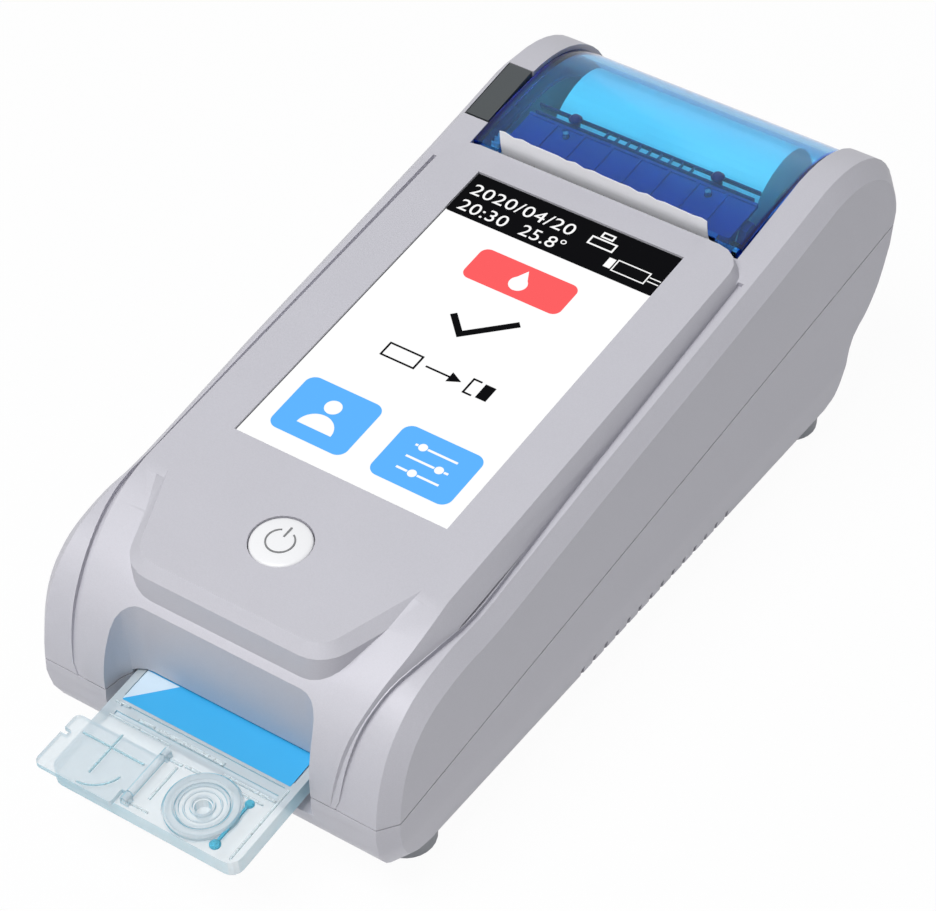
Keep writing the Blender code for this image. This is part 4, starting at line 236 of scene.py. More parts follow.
class Paint(Nodes):
    """A material under construction on Blender's Principled shader."""

    def __init__(self, name, roughness, metallic=0.0, **constants):
        self.material = bpy.data.materials.new(name)
        self.material.use_nodes = True
        super().__init__(self.material.node_tree)
        self.shader = self.tree.nodes["Principled BSDF"]
        self.set("Roughness", roughness)
        self.set("Metallic", metallic)
        for constant, value in constants.items():
            self.set(constant.replace("_", " "), value)
        self.place = self.node('ShaderNodeTexCoord', {}, {}, "Object")

    def set(self, name, value):
        """Give one of the shader's sockets a number, a colour or a link."""
        self.feed(self.shader.inputs[name], value)
        return self

    def along(self, axis):
        """The piece's own X, Y or Z coordinate."""
        return self.node('ShaderNodeSeparateXYZ', {}, {"Vector": self.place}, axis)

    def noise(self, scale, detail=2.0, roughness=0.5, place=None):
        return self.node('ShaderNodeTexNoise', {}, {"Vector": place or self.place, "Scale": scale,
                                                    "Detail": detail, "Roughness": roughness})

    def spread(self, value, low, high, new_low=0.0, new_high=1.0):
        """The value carried from one range to another, clamped."""
        return self.node('ShaderNodeMapRange', {"interpolation_type": 'SMOOTHSTEP'},
                         {"Value": value, "From Min": low, "From Max": high,
                          "To Min": new_low, "To Max": new_high})

    def mix(self, share, first, second):
        """A colour between two colours."""
        return self.node('ShaderNodeMix', {"data_type": 'RGBA'}, {0: share, 6: first, 7: second}, 2)

    def bump(self, height, strength, distance):
        return self.set("Normal", self.node('ShaderNodeBump', {}, {"Height": height, "Strength": strength,
                                                                    "Distance": distance}))

    def stretched(self, scale):
        """The piece's own coordinates, scaled per axis."""
        return self.node('ShaderNodeMapping', {}, {"Vector": self.place, "Scale": scale})


def shade(color, factor):
    """The colour made lighter or darker, and never past white."""
    return tuple(min(1.0, value * factor) for value in color)


def grained(name, color, roughness, contrast=0.06):
    """Moulded plastic or rubber: a fine moulded grain with faint unevenness of colour and gloss."""
    paint = Paint(name, roughness)
    fine = paint.noise(9000.0, 3.0)
    broad = paint.noise(60.0, 3.0)
    paint.set("Base Color", paint.mix(fine * 0.6 + broad * 0.4,
                                      shade(color, 1 - contrast), shade(color, 1 + contrast)))
    paint.set("Roughness", paint.spread(broad + (fine - 0.5) * 0.3, 0.2, 0.8,
                                        roughness - 0.05, roughness + 0.05))
    paint.bump(fine, 0.25, 0.00002)
    return paint.material


def silver_plastic(name, color):
    """Silver plastic with fine metal flake in it."""
    roughness = 0.50
    paint = Paint(name, roughness, 0.12)
    paint.set("Specular IOR Level", 0.35)
    flake = paint.node('ShaderNodeTexVoronoi', {"feature": 'F1'},
                       {"Vector": paint.place, "Scale": 5200.0}, "Color")
    sparkle = paint.node('ShaderNodeSeparateColor', {}, {"Color": flake}, "Red")
    unevenness = sparkle * 0.5 + paint.noise(45.0, 4.0) * 0.5
    paint.set("Base Color", paint.mix(unevenness, shade(color, 0.945), shade(color, 1.05)))
    paint.set("Roughness", paint.spread(unevenness, 0.1, 0.9, roughness - 0.06, roughness + 0.06))
    paint.bump(paint.noise(7000.0, 2.0) + sparkle * 0.5, 0.18, 0.00002)
    return paint.material


def brushed_metal(name, color, roughness, stretch):
    """Turned or drawn metal, its fine lines stretched along one axis."""
    paint = Paint(name, roughness, 1.0)
    lines = paint.noise(1.0, 4.0, 0.6, paint.stretched(tuple(4000.0 * value for value in stretch)))
    broad = paint.noise(300.0, 2.0)
    paint.set("Base Color", paint.mix(lines, shade(color, 0.85), shade(color, 1.08)))
    paint.set("Roughness", paint.spread(lines * 0.6 + broad * 0.4, 0.2, 0.8,
                                        roughness - 0.08, roughness + 0.1))
    paint.bump(lines, 0.15, 0.00001)
    return paint.material


def circuit_board(name):
    """Green lacquered board with paler tracks under the lacquer and small solder pads."""
    paint = Paint(name, 0.35)
    tracks = paint.node('ShaderNodeTexBrick', {"offset": 0.5},
                        {"Vector": paint.place, "Scale": 260.0, "Mortar Size": 0.06,
                         "Color1": (0, 0, 0), "Color2": (0.1, 0.1, 0.1), "Mortar": (1, 1, 1)})
    pads = paint.node('ShaderNodeTexVoronoi', {"feature": 'F1'}, {"Vector": paint.place, "Scale": 420.0})
    pad = paint.spread(pads, 0.16, 0.20, 1.0, 0.0)
    green = paint.mix(tracks, srgb(22, 92, 52), srgb(46, 128, 76))
    paint.set("Base Color", paint.mix(pad, green, srgb(205, 196, 160)))
    paint.set("Roughness", paint.spread(pad, 0, 1, 0.38, 0.25))
    paint.bump(tracks + pad, 0.3, 0.00005)
    return paint.material


def paper(name):
    """Thermal paper: smooth, faintly fibrous and not quite white."""
    paint = Paint(name, 0.62)
    fibre = paint.noise(1.0, 4.0, 0.65, paint.stretched((2600.0, 900.0, 900.0)))
    paint.set("Base Color", paint.mix(fibre, srgb(244, 245, 248), srgb(252, 252, 253)))
    paint.set("Roughness", paint.spread(fibre, 0.2, 0.8, 0.55, 0.7))
    paint.bump(fibre, 0.2, 0.00002)
    return paint.material


def cover_plastic(name, color, rim):
    """Clear blue plastic, deeper where it is seen edge on, along its two sides and over its front."""
    paint = Paint(name, 0.05, 0.0, IOR=1.2, Transmission_Weight=0.96, Coat_Weight=0.3)
    edge = paint.node('ShaderNodeLayerWeight', {}, {"Blend": 0.5}, "Facing")
    flow = paint.noise(55.0, 2.0)
    reach = paint.node('ShaderNodeMath', {"operation": 'ABSOLUTE'}, {0: paint.along("X")})
    side = paint.spread(reach, (COVER_HALF_WIDTH - 1.5) * MM, (COVER_HALF_WIDTH - 0.7) * MM)
    front = paint.spread(paint.along("Y"), world_y(COVER_DEEP_Y, BRACKET_TOP),
                         world_y(COVER_CLEAR_Y, BRACKET_TOP), 0.42, 0.0)
    depth = ((edge ** 2.0) + (flow - 0.5) * 0.08 + side * 0.75 + front).clipped()
    paint.set("Base Color", paint.mix(depth, color, rim))
    paint.set("Roughness", paint.spread(flow, 0.2, 0.8, 0.05, 0.08))
    paint.bump(flow, 0.04, 0.0001)
    return paint.material


def see_through(name, color, rim):
    """Thin water-clear plastic: a pale body, and a deeper and denser colour where it is seen edge on. From
    the flow channels back the pale body is denser still, as painted light over the shaded scoop beneath.
    """
    paint = Paint(name, 0.1, 0.0, IOR=1.49)
    edge = paint.node('ShaderNodeLayerWeight', {}, {"Blend": 0.42}, "Facing")
    flow = paint.noise(220.0, 3.0)
    depth = (edge + (flow - 0.5) * 0.12).clipped()
    paint.set("Base Color", paint.mix(paint.spread(depth, 0.25, 0.8), color, rim))
    # Painted light: from the flow channels back the pale body is made denser, to lighten the shaded scoop
    # floor seen through the card.
    painted_light_band = paint.spread(paint.along("Y"), world_y(FILM_FRONT - 5.4, CARD_TOP),
                          world_y(FILM_FRONT - 2.9, CARD_TOP), 0.0, 0.2)
    paint.set("Alpha", (paint.spread(depth, 0.1, 0.85, 0.38, 0.85) + painted_light_band).clipped())
    paint.set("Roughness", paint.spread(flow, 0.2, 0.8, 0.06, 0.16))
    paint.bump(flow, 0.08, 0.0001)
    return paint.material


def frosted(name, color):
    """Clear plastic with a fine matt skin that catches the light, in the colour given; near white on the
    card's ribs, it is a painted highlight.
    """
    paint = Paint(name, 0.3, 0.0, IOR=1.3, Transmission_Weight=0.45)
    haze = paint.noise(900.0, 3.0)
    paint.set("Base Color", paint.mix(haze, shade(color, 0.92), color))
    paint.set("Roughness", paint.spread(haze, 0.2, 0.8, 0.22, 0.4))
    paint.bump(haze, 0.1, 0.00003)
    return paint.material


def lit_picture(name, color):
    """A colour on the lit screen, with the faint grid of its picture cells."""
    paint = Paint(name, 0.3, IOR=1.05)
    cells = paint.node('ShaderNodeTexChecker', {},
                       {"Vector": paint.place, "Scale": 6200.0,
                        "Color1": (1, 1, 1), "Color2": (0.95, 0.95, 0.95)}, "Color")
    cell = paint.node('ShaderNodeSeparateColor', {}, {"Color": cells}, "Red")
    paint.set("Base Color", shade(color, 0.04))
    paint.set("Emission Color", paint.mix(cell, shade(color, 0.95), color))
    paint.set("Emission Strength", 1.0)
    paint.set("Roughness", paint.spread(paint.noise(40.0), 0.2, 0.8, 0.25, 0.35))
    return paint.material


def glossy_glass(name, color):
    """Black glass front with faint finger marks in its gloss."""
    paint = Paint(name, 0.06, 0.0, Coat_Weight=1.0)
    marks = paint.noise(90.0, 5.0, 0.7)
    paint.set("Base Color", paint.mix(marks, color, shade(color, 1.5)))
    paint.set("Roughness", paint.spread(marks, 0.45, 0.7, 0.05, 0.16))
    return paint.material


MADE = {}


def finish_named(name):
    """The finish with this name, made when it is first asked for."""
    if name not in MADE:
        MADE[name] = FINISHES[name]()
    return MADE[name]


FINISHES = {
    "silver": lambda: silver_plastic("silver_plastic", tuple(colors().shell)),
    "dark_grey": lambda: grained("lever_grey", tuple(colors().lever), 0.5, contrast=0.1),
    "button_white": lambda: grained("button_white", srgb(243, 243, 244), 0.38, contrast=0.02),
    "glass_black": lambda: glossy_glass("front_glass", srgb(14, 14, 17)),
    "display_grey": lambda: grained("display_grey", srgb(140, 142, 146), 0.4),
    "board_green": lambda: circuit_board("board_green"),
    "clear_aqua": lambda: see_through("clear_card", tuple(colors().card), tuple(colors().card_rim)),
    "label_blue": lambda: grained("label_film", tuple(colors().label), 0.35, contrast=0.03),
    "cover_blue": lambda: cover_plastic("cover_blue", tuple(colors().cover), tuple(colors().cover_rim)),
    "frame_blue": lambda: grained("frame_blue", srgb(26, 74, 178), 0.4),
    "paper_white": lambda: paper("thermal_paper"),
    "rubber_black": lambda: grained("rubber_black", srgb(38, 38, 40), 0.75, contrast=0.15),
    "rubber_grey": lambda: grained("rubber_grey", srgb(172, 174, 178), 0.7, contrast=0.08),
    "steel": lambda: brushed_metal("steel", srgb(200, 200, 202), 0.28, (1.0, 0.05, 1.0)),
    "aluminium": lambda: brushed_metal("aluminium", srgb(215, 216, 220), 0.36, (0.05, 1.0, 1.0)),
    "gear_white": lambda: grained("gear_white", srgb(232, 229, 218), 0.42, contrast=0.04),
    "black_plastic": lambda: grained("black_plastic", srgb(46, 47, 50), 0.5, contrast=0.15),
    "ceramic": lambda: grained("ceramic", srgb(214, 212, 200), 0.4, contrast=0.04),
    "battery_wrap": lambda: grained("battery_wrap", srgb(58, 90, 150), 0.35, contrast=0.08),
}


# Modelling with Blender's own operators

def deselect():
    if bpy.context.object and bpy.context.object.mode != 'OBJECT':
        bpy.ops.object.mode_set(mode='OBJECT')
    bpy.ops.object.select_all(action='DESELECT')


def activate(piece):
    deselect()
    piece.select_set(True)
    bpy.context.view_layer.objects.active = piece


def edit(piece, kind, chosen):
    """Open a piece in edit mode with only the chosen points, edges or faces selected."""
    activate(piece)
    bpy.ops.object.mode_set(mode='EDIT')
    bpy.ops.mesh.select_mode(type=kind)
    bpy.ops.mesh.select_all(action='DESELECT')
    shape = bmesh.from_edit_mesh(piece.data)
    items = {'VERT': shape.verts, 'EDGE': shape.edges, 'FACE': shape.faces}[kind]
    for item in items:
        item.select_set(bool(chosen(item)))
    shape.select_flush_mode()
    bmesh.update_edit_mesh(piece.data)


def leave():
    bpy.ops.object.mode_set(mode='OBJECT')


def apply_modifier(piece, kind, **settings):
    activate(piece)
    modifier = piece.modifiers.new(kind.lower(), kind)
    for name, value in settings.items():
        setattr(modifier, name, value)
    bpy.ops.object.modifier_apply(modifier=modifier.name)


def smooth_by_angle(piece, angle=32.0):
    activate(piece)
    bpy.ops.object.shade_smooth_by_angle(angle=radians(angle))


def block(name, low, high):
    """A block between two corners, with its place already in its mesh."""
    deselect()
    low, high = Vector(low), Vector(high)
    bpy.ops.mesh.primitive_cube_add(size=1, location=(low + high) / 2)
    piece = bpy.context.object
    piece.name = name
    piece.scale = high - low
    bpy.ops.object.transform_apply(location=True, rotation=True, scale=True)
    return piece


def upright(edge):
    """True for an edge that runs along Z."""
    first, second = (vertex.co for vertex in edge.verts)
    return abs(first.z - second.z) > 0.01 and (first.xy - second.xy).length < 0.001


def card_shape(name, low, high, corner, segments=6):
    """A plate with rounded corners."""
    piece = block(name, low, high)
    edit(piece, 'EDGE', upright)
    bpy.ops.mesh.bevel(offset=corner, segments=segments, affect='EDGES')
    leave()
    return piece


def joined(pieces, name):
    """Several shapes as one piece."""
    deselect()
    for piece in pieces:
        piece.select_set(True)
    bpy.context.view_layer.objects.active = pieces[0]
    bpy.ops.object.join()
    pieces[0].name = name
    return pieces[0]


def digits(text, height, width, place, name, thickness=0.03):
    """Plain numbers as a thin mesh, standing on the screen."""
    deselect()
    bpy.ops.object.text_add()
    piece = bpy.context.object
    piece.data.body = text
    piece.data.size = height * 1.4
    piece.data.space_character = 1.05
    piece.data.extrude = thickness / 2
    bpy.ops.object.convert(target='MESH')
    piece = bpy.context.object
    piece.name = name
    piece.location = place
    piece.scale.x = width / piece.dimensions.x
    bpy.ops.object.transform_apply(location=True, rotation=True, scale=True)
    return piece


def arc(middle, radius, start, end, steps):
    """Points on a circle between two angles in degrees."""
    return [(middle[0] + radius * cos(radians(start + (end - start) * step / steps)),
             middle[1] + radius * sin(radians(start + (end - start) * step / steps)))
            for step in range(steps + 1)]


def stroked(points, width):
    """Outline of an even line drawn along the points."""
    left, right = [], []
    for index, point in enumerate(points):
        here = Vector(point)
        before = Vector(points[max(index - 1, 0)])
        after = Vector(points[min(index + 1, len(points) - 1)])
        out = (after - here).normalized() if index < len(points) - 1 else (here - before).normalized()
        into = (here - before).normalized() if index else out
        normal = Vector((-(into.y + out.y), into.x + out.x)).normalized()
        reach = width / 2 / max(normal.dot(Vector((-into.y, into.x))), 0.4)
        left.append(tuple(here + normal * reach))
        right.append(tuple(here - normal * reach))
    return left + right[::-1]


def framed(low, high, width):
    """Two outlines that leave an even rectangular frame between them."""
    inner = [(low[0] + width, low[1] + width), (high[0] - width, low[1] + width),
             (high[0] - width, high[1] - width), (low[0] + width, high[1] - width)]
    return [[low, (high[0], low[1]), high, (low[0], high[1])], inner]


def flat_shape(name, outlines, low, high):
    """A thin plate from flat outlines; one inside another leaves a hole."""
    deselect()
    curve = bpy.data.curves.new(name, 'CURVE')
    curve.dimensions = '2D'
    curve.fill_mode = 'BOTH'
    curve.extrude = (high - low) / 2
    for outline in outlines:
        spline = curve.splines.new('POLY')
        spline.points.add(len(outline) - 1)
        spline.use_cyclic_u = True
        for point, (x, y) in zip(spline.points, outline):
            point.co = (x, y, 0, 1)
    piece = bpy.data.objects.new(name, curve)
    bpy.context.scene.collection.objects.link(piece)
    activate(piece)
    bpy.ops.object.convert(target='MESH')
    piece = bpy.context.object
    piece.location = (0, 0, (low + high) / 2)
    bpy.ops.object.transform_apply(location=True, rotation=True, scale=True)
    return piece


def turned(name, profile, middle, steps=96):
    """A profile of (radius, height) points spun once round an upright axis.

    One that starts off the axis is closed on itself and makes a ring.
    """
    mesh = bpy.data.meshes.new(name)
    count = len(profile)
    closed = profile[0][0] > 0
    edges = [(index, (index + 1) % count) for index in range(count if closed else count - 1)]
    mesh.from_pydata([(middle[0] + radius, middle[1], height) for radius, height in profile], edges, [])
    piece = bpy.data.objects.new(name, mesh)
    bpy.context.scene.collection.objects.link(piece)
    activate(piece)
    bpy.ops.object.mode_set(mode='EDIT')
    bpy.ops.mesh.select_all(action='SELECT')
    bpy.ops.mesh.spin(steps=steps, angle=2 * pi, center=(*middle, 0), axis=(0, 0, 1))
    bpy.ops.mesh.select_all(action='SELECT')
    bpy.ops.mesh.remove_doubles(threshold=0.0005)
    bpy.ops.mesh.normals_make_consistent(inside=False)
    leave()
    return piece


def to_deck_place(piece):
    """Carry a piece from deck millimetres to its place over the floor."""
    piece.data.transform(DECK)
    piece.data.update()


def settle(piece, body, slot, finish=None, replaced=()):
    """Give a finished piece its material, the slot's finish unless another is given, and its body."""
    piece.data.materials.clear()
    piece.data.materials.append(finish or finish_named(slot))
    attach(piece, body)
    if replaced:
        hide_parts(*replaced)
    return piece


def merged_copy(node, name, whole=True):
    """A copy of a CAD node with its triangles joined up and, if asked, its flat faces whole."""
    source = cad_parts[node]
    mesh = source.data.copy()
    piece = bpy.data.objects.new(name, mesh)
    bpy.context.scene.collection.objects.link(piece)
    activate(piece)
    bpy.ops.object.mode_set(mode='EDIT')
    bpy.ops.mesh.select_mode(type='VERT')
    bpy.ops.mesh.select_all(action='SELECT')
    bpy.ops.mesh.remove_doubles(threshold=0.000004)
    if whole:
        bpy.ops.mesh.dissolve_limited(angle_limit=radians(0.4))
    leave()
    if mesh.has_custom_normals:
        bpy.ops.mesh.customdata_custom_splitnormals_clear()
    return piece


def crisp_copy(node, name):
    """A copy that keeps its thin walls and sharp moulded edges."""
    piece = merged_copy(node, name, whole=False)
    smooth_by_angle(piece, 18.0)
    return piece


def softened_copy(node, name, width, segments=2, prepare=None):
    """A copy with its edges rounded; prepare may move its points first."""
    piece = merged_copy(node, name)
    if prepare:
        prepare(piece)
    apply_modifier(piece, 'BEVEL', width=width, segments=segments, limit_method='ANGLE',
                   angle_limit=radians(30.0), use_clamp_overlap=True, harden_normals=False,
                   miter_outer='MITER_ARC')
    smooth_by_angle(piece, 35.0)
    apply_modifier(piece, 'WEIGHTED_NORMAL', mode='FACE_AREA', weight=100, keep_sharp=True)
    return piece


# Operators, one for each piece or group of like pieces

class AnalyzerHousing(bpy.types.Operator):
    """Make the upper and lower shells with softened edges."""
    bl_idname = "analyzer.housing"
    bl_label = "Housing shells"

    def execute(self, context):
        for node in ("upper_cover", "lower_case"):
            name = "shell_" + node.split("_")[0]
            shell = softened_copy(node, name, sizes().shell_edge, prepare=self.close_notch_ends)
            settle(shell, "case", "silver", replaced=(node,))
        return {'FINISHED'}

    def close_notch_ends(self, shell):
        """Run the notches beside the front flap out to a point instead of a step."""
        to_deck = DECK.inverted()

        def at_step(vertex):
            x, y, z = to_deck @ vertex.co
            return abs(y - NOTCH_END) < 0.06 and NOTCH_INNER_X < abs(x) < NOTCH_OUTER_X and -3.0 < z < -0.6

        edit(shell, 'VERT', at_step)
        shape = bmesh.from_edit_mesh(shell.data)
        for vertex in shape.verts:
            if vertex.select:
                x, y, z = to_deck @ vertex.co
                vertex.co = DECK @ Vector((x, y, NOTCH_TOP))
        bmesh.update_edit_mesh(shell.data)
        bpy.ops.mesh.select_all(action='SELECT')
        bpy.ops.mesh.dissolve_degenerate(threshold=0.00005)
        leave()


class AnalyzerScreen(bpy.types.Operator):
    """Lay the lit picture under the front glass: plain numbers and pictograms only."""
    bl_idname = "analyzer.screen"
    bl_label = "Lit screen"

    def execute(self, context):
        half_x = sizes().screen_width / MM / 2
        half_y = sizes().screen_length / MM / 2
        bar = half_y - sizes().status_bar / MM
        base = SCREEN_DEPTH
        white = lit_picture("screen_white", (0.97, 0.97, 0.97))
        black = lit_picture("screen_black", (0.004, 0.004, 0.005))
        blue = lit_picture("screen_blue", tuple(colors().screen_button))
        red = lit_picture("screen_red", tuple(colors().screen_badge))
        field = card_shape("screen_field", (-half_x, -half_y, base + 0.01),
                           (half_x, half_y, base + 0.05), 0.4)
        self.lay(field, white)
        low, high = base + 0.03, base + 0.08
        strip = card_shape("screen_status_bar", (-half_x, bar, low), (half_x, half_y, high), 0.4)
        self.lay(strip, black)
        badge = card_shape("screen_badge", (-13.2, 17.9, low), (13.4, 28.6, high), 2.2, 10)
        self.lay(badge, red)
        keys = [card_shape("key_left", (-23.8, -43.6, low), (-3.3, -26.0, high), 2.6, 10),
                card_shape("key_right", (3.3, -43.7, low), (24.6, -27.1, high), 2.6, 10)]
        self.lay(joined(keys, "screen_keys"), blue)
        low, high = base + 0.09, base + 0.12
        numbers = [digits("2020/04/20", 3.8, 28.4, (-26.8, 42.0, high), "numbers_upper"),
                   digits("20:30", 3.8, 13.2, (-26.6, 36.2, high), "numbers_time"),
                   digits("25.8\u00b0", 3.8, 11.6, (-9.4, 36.2, high), "numbers_warmth")]
        signs = [self.printer_sign(low, high), self.battery_sign(low, high), self.drop_sign(low, high),
                 self.person_sign(low, high), self.slider_sign(low, high)]
        self.lay(joined(numbers + signs, "screen_signs_white"), white)
        self.lay(joined([self.tick_sign(base + 0.05, high), self.card_sign(base + 0.05, high)],
                        "screen_signs_black"), black)
        return {'FINISHED'}

    def printer_sign(self, low, high):
        outlines = framed((6.2, 42.0), (13.2, 44.9), 0.45) + framed((8.0, 45.3), (11.4, 47.2), 0.45)
        return flat_shape("sign_printer", outlines, low, high)

    def battery_sign(self, low, high):
        outlines = [[(13.6, 37.4), (15.4, 37.4), (15.4, 40.6), (13.6, 40.6)]]
        outlines += framed((15.8, 37.0), (24.8, 41.0), 0.32)
        outlines += [[(25.0, 39.5), (28.0, 39.5), (28.0, 39.8), (25.0, 39.8)],
                     [(25.0, 38.2), (28.0, 38.2), (28.0, 38.5), (25.0, 38.5)]]
        return flat_shape("sign_battery", outlines, low, high)

    def drop_sign(self, low, high):
        return flat_shape("sign_drop", [arc((0.1, 22.3), 2.3, -230, 50, 28) + [(0.1, 27.0)]], low, high)

    def person_sign(self, low, high):
        head = arc((-13.6, -32.0), 2.1, 0, 350, 30)
        shoulders = arc((-13.6, -39.6), 4.6, 0, 180, 24)
        return flat_shape("sign_person", [head, shoulders], low, high)

    def slider_sign(self, low, high):
        outlines = []
        for y, knob in ((-31.6, 10.4), (-35.4, 17.2), (-39.2, 12.6)):
            outlines.append([(8.4, y - 0.3), (knob - 1.3, y - 0.3), (knob - 1.3, y + 0.3), (8.4, y + 0.3)])
            outlines.append([(knob + 1.3, y - 0.3), (19.6, y - 0.3), (19.6, y + 0.3), (knob + 1.3, y + 0.3)])
            outlines.append(arc((knob, y), 1.1, 0, 345, 23))
        return flat_shape("sign_sliders", outlines, low, high)

    def tick_sign(self, low, high):
        return flat_shape("sign_tick", [stroked([(-7.2, 6.6), (-2.4, 1.8), (7.8, 11.4)], 1.7)], low, high)

    def card_sign(self, low, high):
        outlines = framed((-14.4, -12.9), (-5.0, -8.3), 0.5)
        outlines += [[(-3.2, -10.85), (3.2, -10.85), (3.2, -12.2), (6.4, -10.6), (3.2, -9.0), (3.2, -10.35),
                      (-3.2, -10.35)]]
        outlines += [stroked([(10.6, -12.9), (8.4, -12.9), (8.4, -8.3), (10.6, -8.3)], 0.5),
                     [(11.6, -12.9), (14.4, -12.9), (14.4, -8.3), (11.6, -8.3)]]
        return flat_shape("sign_card", outlines, low, high)

    def lay(self, piece, finish):
        to_deck_place(piece)
        settle(piece, "case", "glass_black", finish)


class AnalyzerButton(bpy.types.Operator):
    """Turn the power button with its soft rim and lay the ring sign on it."""
    bl_idname = "analyzer.button"
    bl_label = "Power button"

    def execute(self, context):
        middle = (0, BUTTON_Y)
        flange_top, flange_bottom, stem_bottom = -2.5, -3.7, -6.7
        profile = [(0, 0.42), (2.6, 0.38), (4.6, 0.24), (6.2, 0.02), (6.75, -0.12), (7.0, -0.32),
                   (BUTTON_RADIUS, -0.6), (BUTTON_RADIUS, flange_top), (BUTTON_FLANGE_RADIUS, flange_top),
                   (BUTTON_FLANGE_RADIUS, flange_bottom), (BUTTON_STEM_RADIUS, flange_bottom),
                   (BUTTON_STEM_RADIUS, stem_bottom), (0, stem_bottom)]
        cap = turned("button_cap", profile, middle)
        smooth_by_angle(cap, 40.0)
        to_deck_place(cap)
        settle(cap, "button", "button_white", replaced=("power_button",))
        sign_middle = (0, BUTTON_Y - 0.2)
        ring = arc(sign_middle, 3.45, 118, 422, 60) + arc(sign_middle, 3.05, 422, 118, 60)
        bar_half, bar_low, bar_high = 0.24, BUTTON_Y + 1.1, BUTTON_Y + 4.2
        bar = [(-bar_half, bar_low), (bar_half, bar_low), (bar_half, bar_high), (-bar_half, bar_high)]
        sign = flat_shape("button_sign", [ring, bar], 0.30, 0.46)
        to_deck_place(sign)
        settle(sign, "button", "dark_grey", grained("button_print", srgb(120, 121, 122), 0.5, contrast=0.05))
        return {'FINISHED'}


class AnalyzerCard(bpy.types.Operator):
    """Finish the clear sensor card: its edges, rings, ribs, flow channels, cap and printed film."""
    bl_idname = "analyzer.card"
    bl_label = "Sensor card"

    def execute(self, context):
        card = crisp_copy("sensor_card", "card_body")
        settle(card, "card", "clear_aqua", replaced=("sensor_card",))
        cap = crisp_copy("card_cap", "card_cap_clear")
        settle(cap, "cap", "clear_aqua", replaced=("card_cap",))
        self.rings()
        self.ribs()
        self.cap_ribs()
        self.hinge_bar()
        self.film()
        return {'FINISHED'}

    def rings(self):
        """Concentric clear rings round the sample port."""
        top = CARD_TOP + 0.05
        sizes_and_rises = ((8.1, 7.5, 0.5), (6.0, 5.2, 0.5), (4.4, 3.9, 0.35), (2.9, 2.2, 0.6))
        slope = 0.12
        shapes = []
        for number, (outer, inner, rise) in enumerate(sizes_and_rises):
            profile = [(outer, top), (outer - slope, top + rise), (inner + slope, top + rise), (inner, top)]
            shapes.append(turned("ring_%d" % number, profile, PORT))
        piece = joined(shapes, "card_port_rings")
        smooth_by_angle(piece)
        to_deck_place(piece)
        settle(piece, "card", "clear_aqua")

    def ribs(self):
        """Raised bars on the card's face."""
        top = CARD_TOP + 0.02
        bars = [((-16.1, -106.7), (-11.7, -106.1), 0.5), ((-10.9, -106.9), (7.3, -106.0), 0.5),
                ((8.8, -109.0), (22.6, -108.4), 0.5), ((-4.5, -111.8), (-0.3, -111.2), 0.45),
                ((0.4, -111.5), (4.2, -110.9), 0.45), ((11.2, -111.0), (20.8, -110.5), 0.45),
                ((-23.6, -104.9), (-20.0, -104.5), 0.4), ((-22.6, -108.6), (-6.0, -108.2), 0.35),
                ((-4.4, -125.6), (1.0, -125.2), 0.45),
                ((22.9, -125.8), (23.4, -104.6), 0.4), ((-1.2, -122.4), (-0.7, -112.4), 0.4)]
        shapes = []
        for number, (low, high, rise) in enumerate(bars):
            bar = block("bar_%d" % number, (*low, top), (*high, top + rise))
            edit(bar, 'EDGE', lambda edge: min(vertex.co.z for vertex in edge.verts) > top + 0.1)
            bpy.ops.mesh.bevel(offset=0.12, segments=2, affect='EDGES')
            leave()
            shapes.append(bar)
        piece = joined(shapes, "card_ribs")
        smooth_by_angle(piece)
        to_deck_place(piece)
        # Painted highlight: the ribs are near white so that they show as the highlight lines along them.
        settle(piece, "card", "clear_aqua", frosted("rib_highlight", srgb(238, 247, 250)))

    def cap_ribs(self):
        """Two crossing bars and a curved one on the cap's face."""
        low = CAP_TOP + 0.02
        across = block("cap_bar_across", (-23.3, -116.7, low), (-6.6, -116.3, low + 0.3))
        along = block("cap_bar_along", (-15.7, -124.3, low), (-15.3, -112.5, low + 0.3))
        bend = stroked(arc((-16.6, -119.8), 7.9, -88, -15, 14), 0.35)
        curved = flat_shape("cap_bar_curved", [bend], low, low + 0.25)
        piece = joined([across, along, curved], "cap_ribs")
        to_deck_place(piece)
        settle(piece, "cap", "clear_aqua", frosted("cap_lines", srgb(205, 235, 243)))

    def hinge_bar(self):
        """The deeper blue bar and its two ends beside the port."""
        low = CARD_TOP + 0.02
        half = 0.3
        shapes = [card_shape("bar", (HINGE_BAR_X - half, -124.0, low),
                             (HINGE_BAR_X + half, -112.4, low + 0.6), 0.25)]
        for end, y, crown, radius in (("near", -124.4, 0.9, 1.3), ("far", -112.0, 0.8, 1.1)):
            profile = [(0, low + 0.8), (crown, low + 0.7), (radius, low + 0.3), (radius, low), (0, low)]
            shapes.append(turned("bar_%s_end" % end, profile, (HINGE_BAR_X, y)))
        piece = joined(shapes, "card_hinge_bar")
        smooth_by_angle(piece)
        to_deck_place(piece)
        settle(piece, "card", "clear_aqua", frosted("bar_blue", srgb(112, 208, 232)))

    def film(self):
        """The printed film: sky blue with a paler corner at its left."""
        low = CARD_TOP + 0.02
        label = card_shape("card_film", (-FILM_HALF_WIDTH, FILM_FRONT, low),
                           (FILM_HALF_WIDTH, FILM_REAR, low + 0.1), 0.3)
        to_deck_place(label)
        settle(label, "card", "label_blue", replaced=("card_label",))
        top = CARD_TOP + 0.14
        rear = -94.3
        outline = [(-FILM_HALF_WIDTH, FILM_FRONT + 0.2), (-13.9, rear), (-FILM_HALF_WIDTH, rear)]
        corner = flat_shape("card_film_corner", [outline], top - 0.02, top)
        to_deck_place(corner)
        settle(corner, "card", "label_blue", grained("film_pale", srgb(206, 226, 240), 0.35, contrast=0.03))


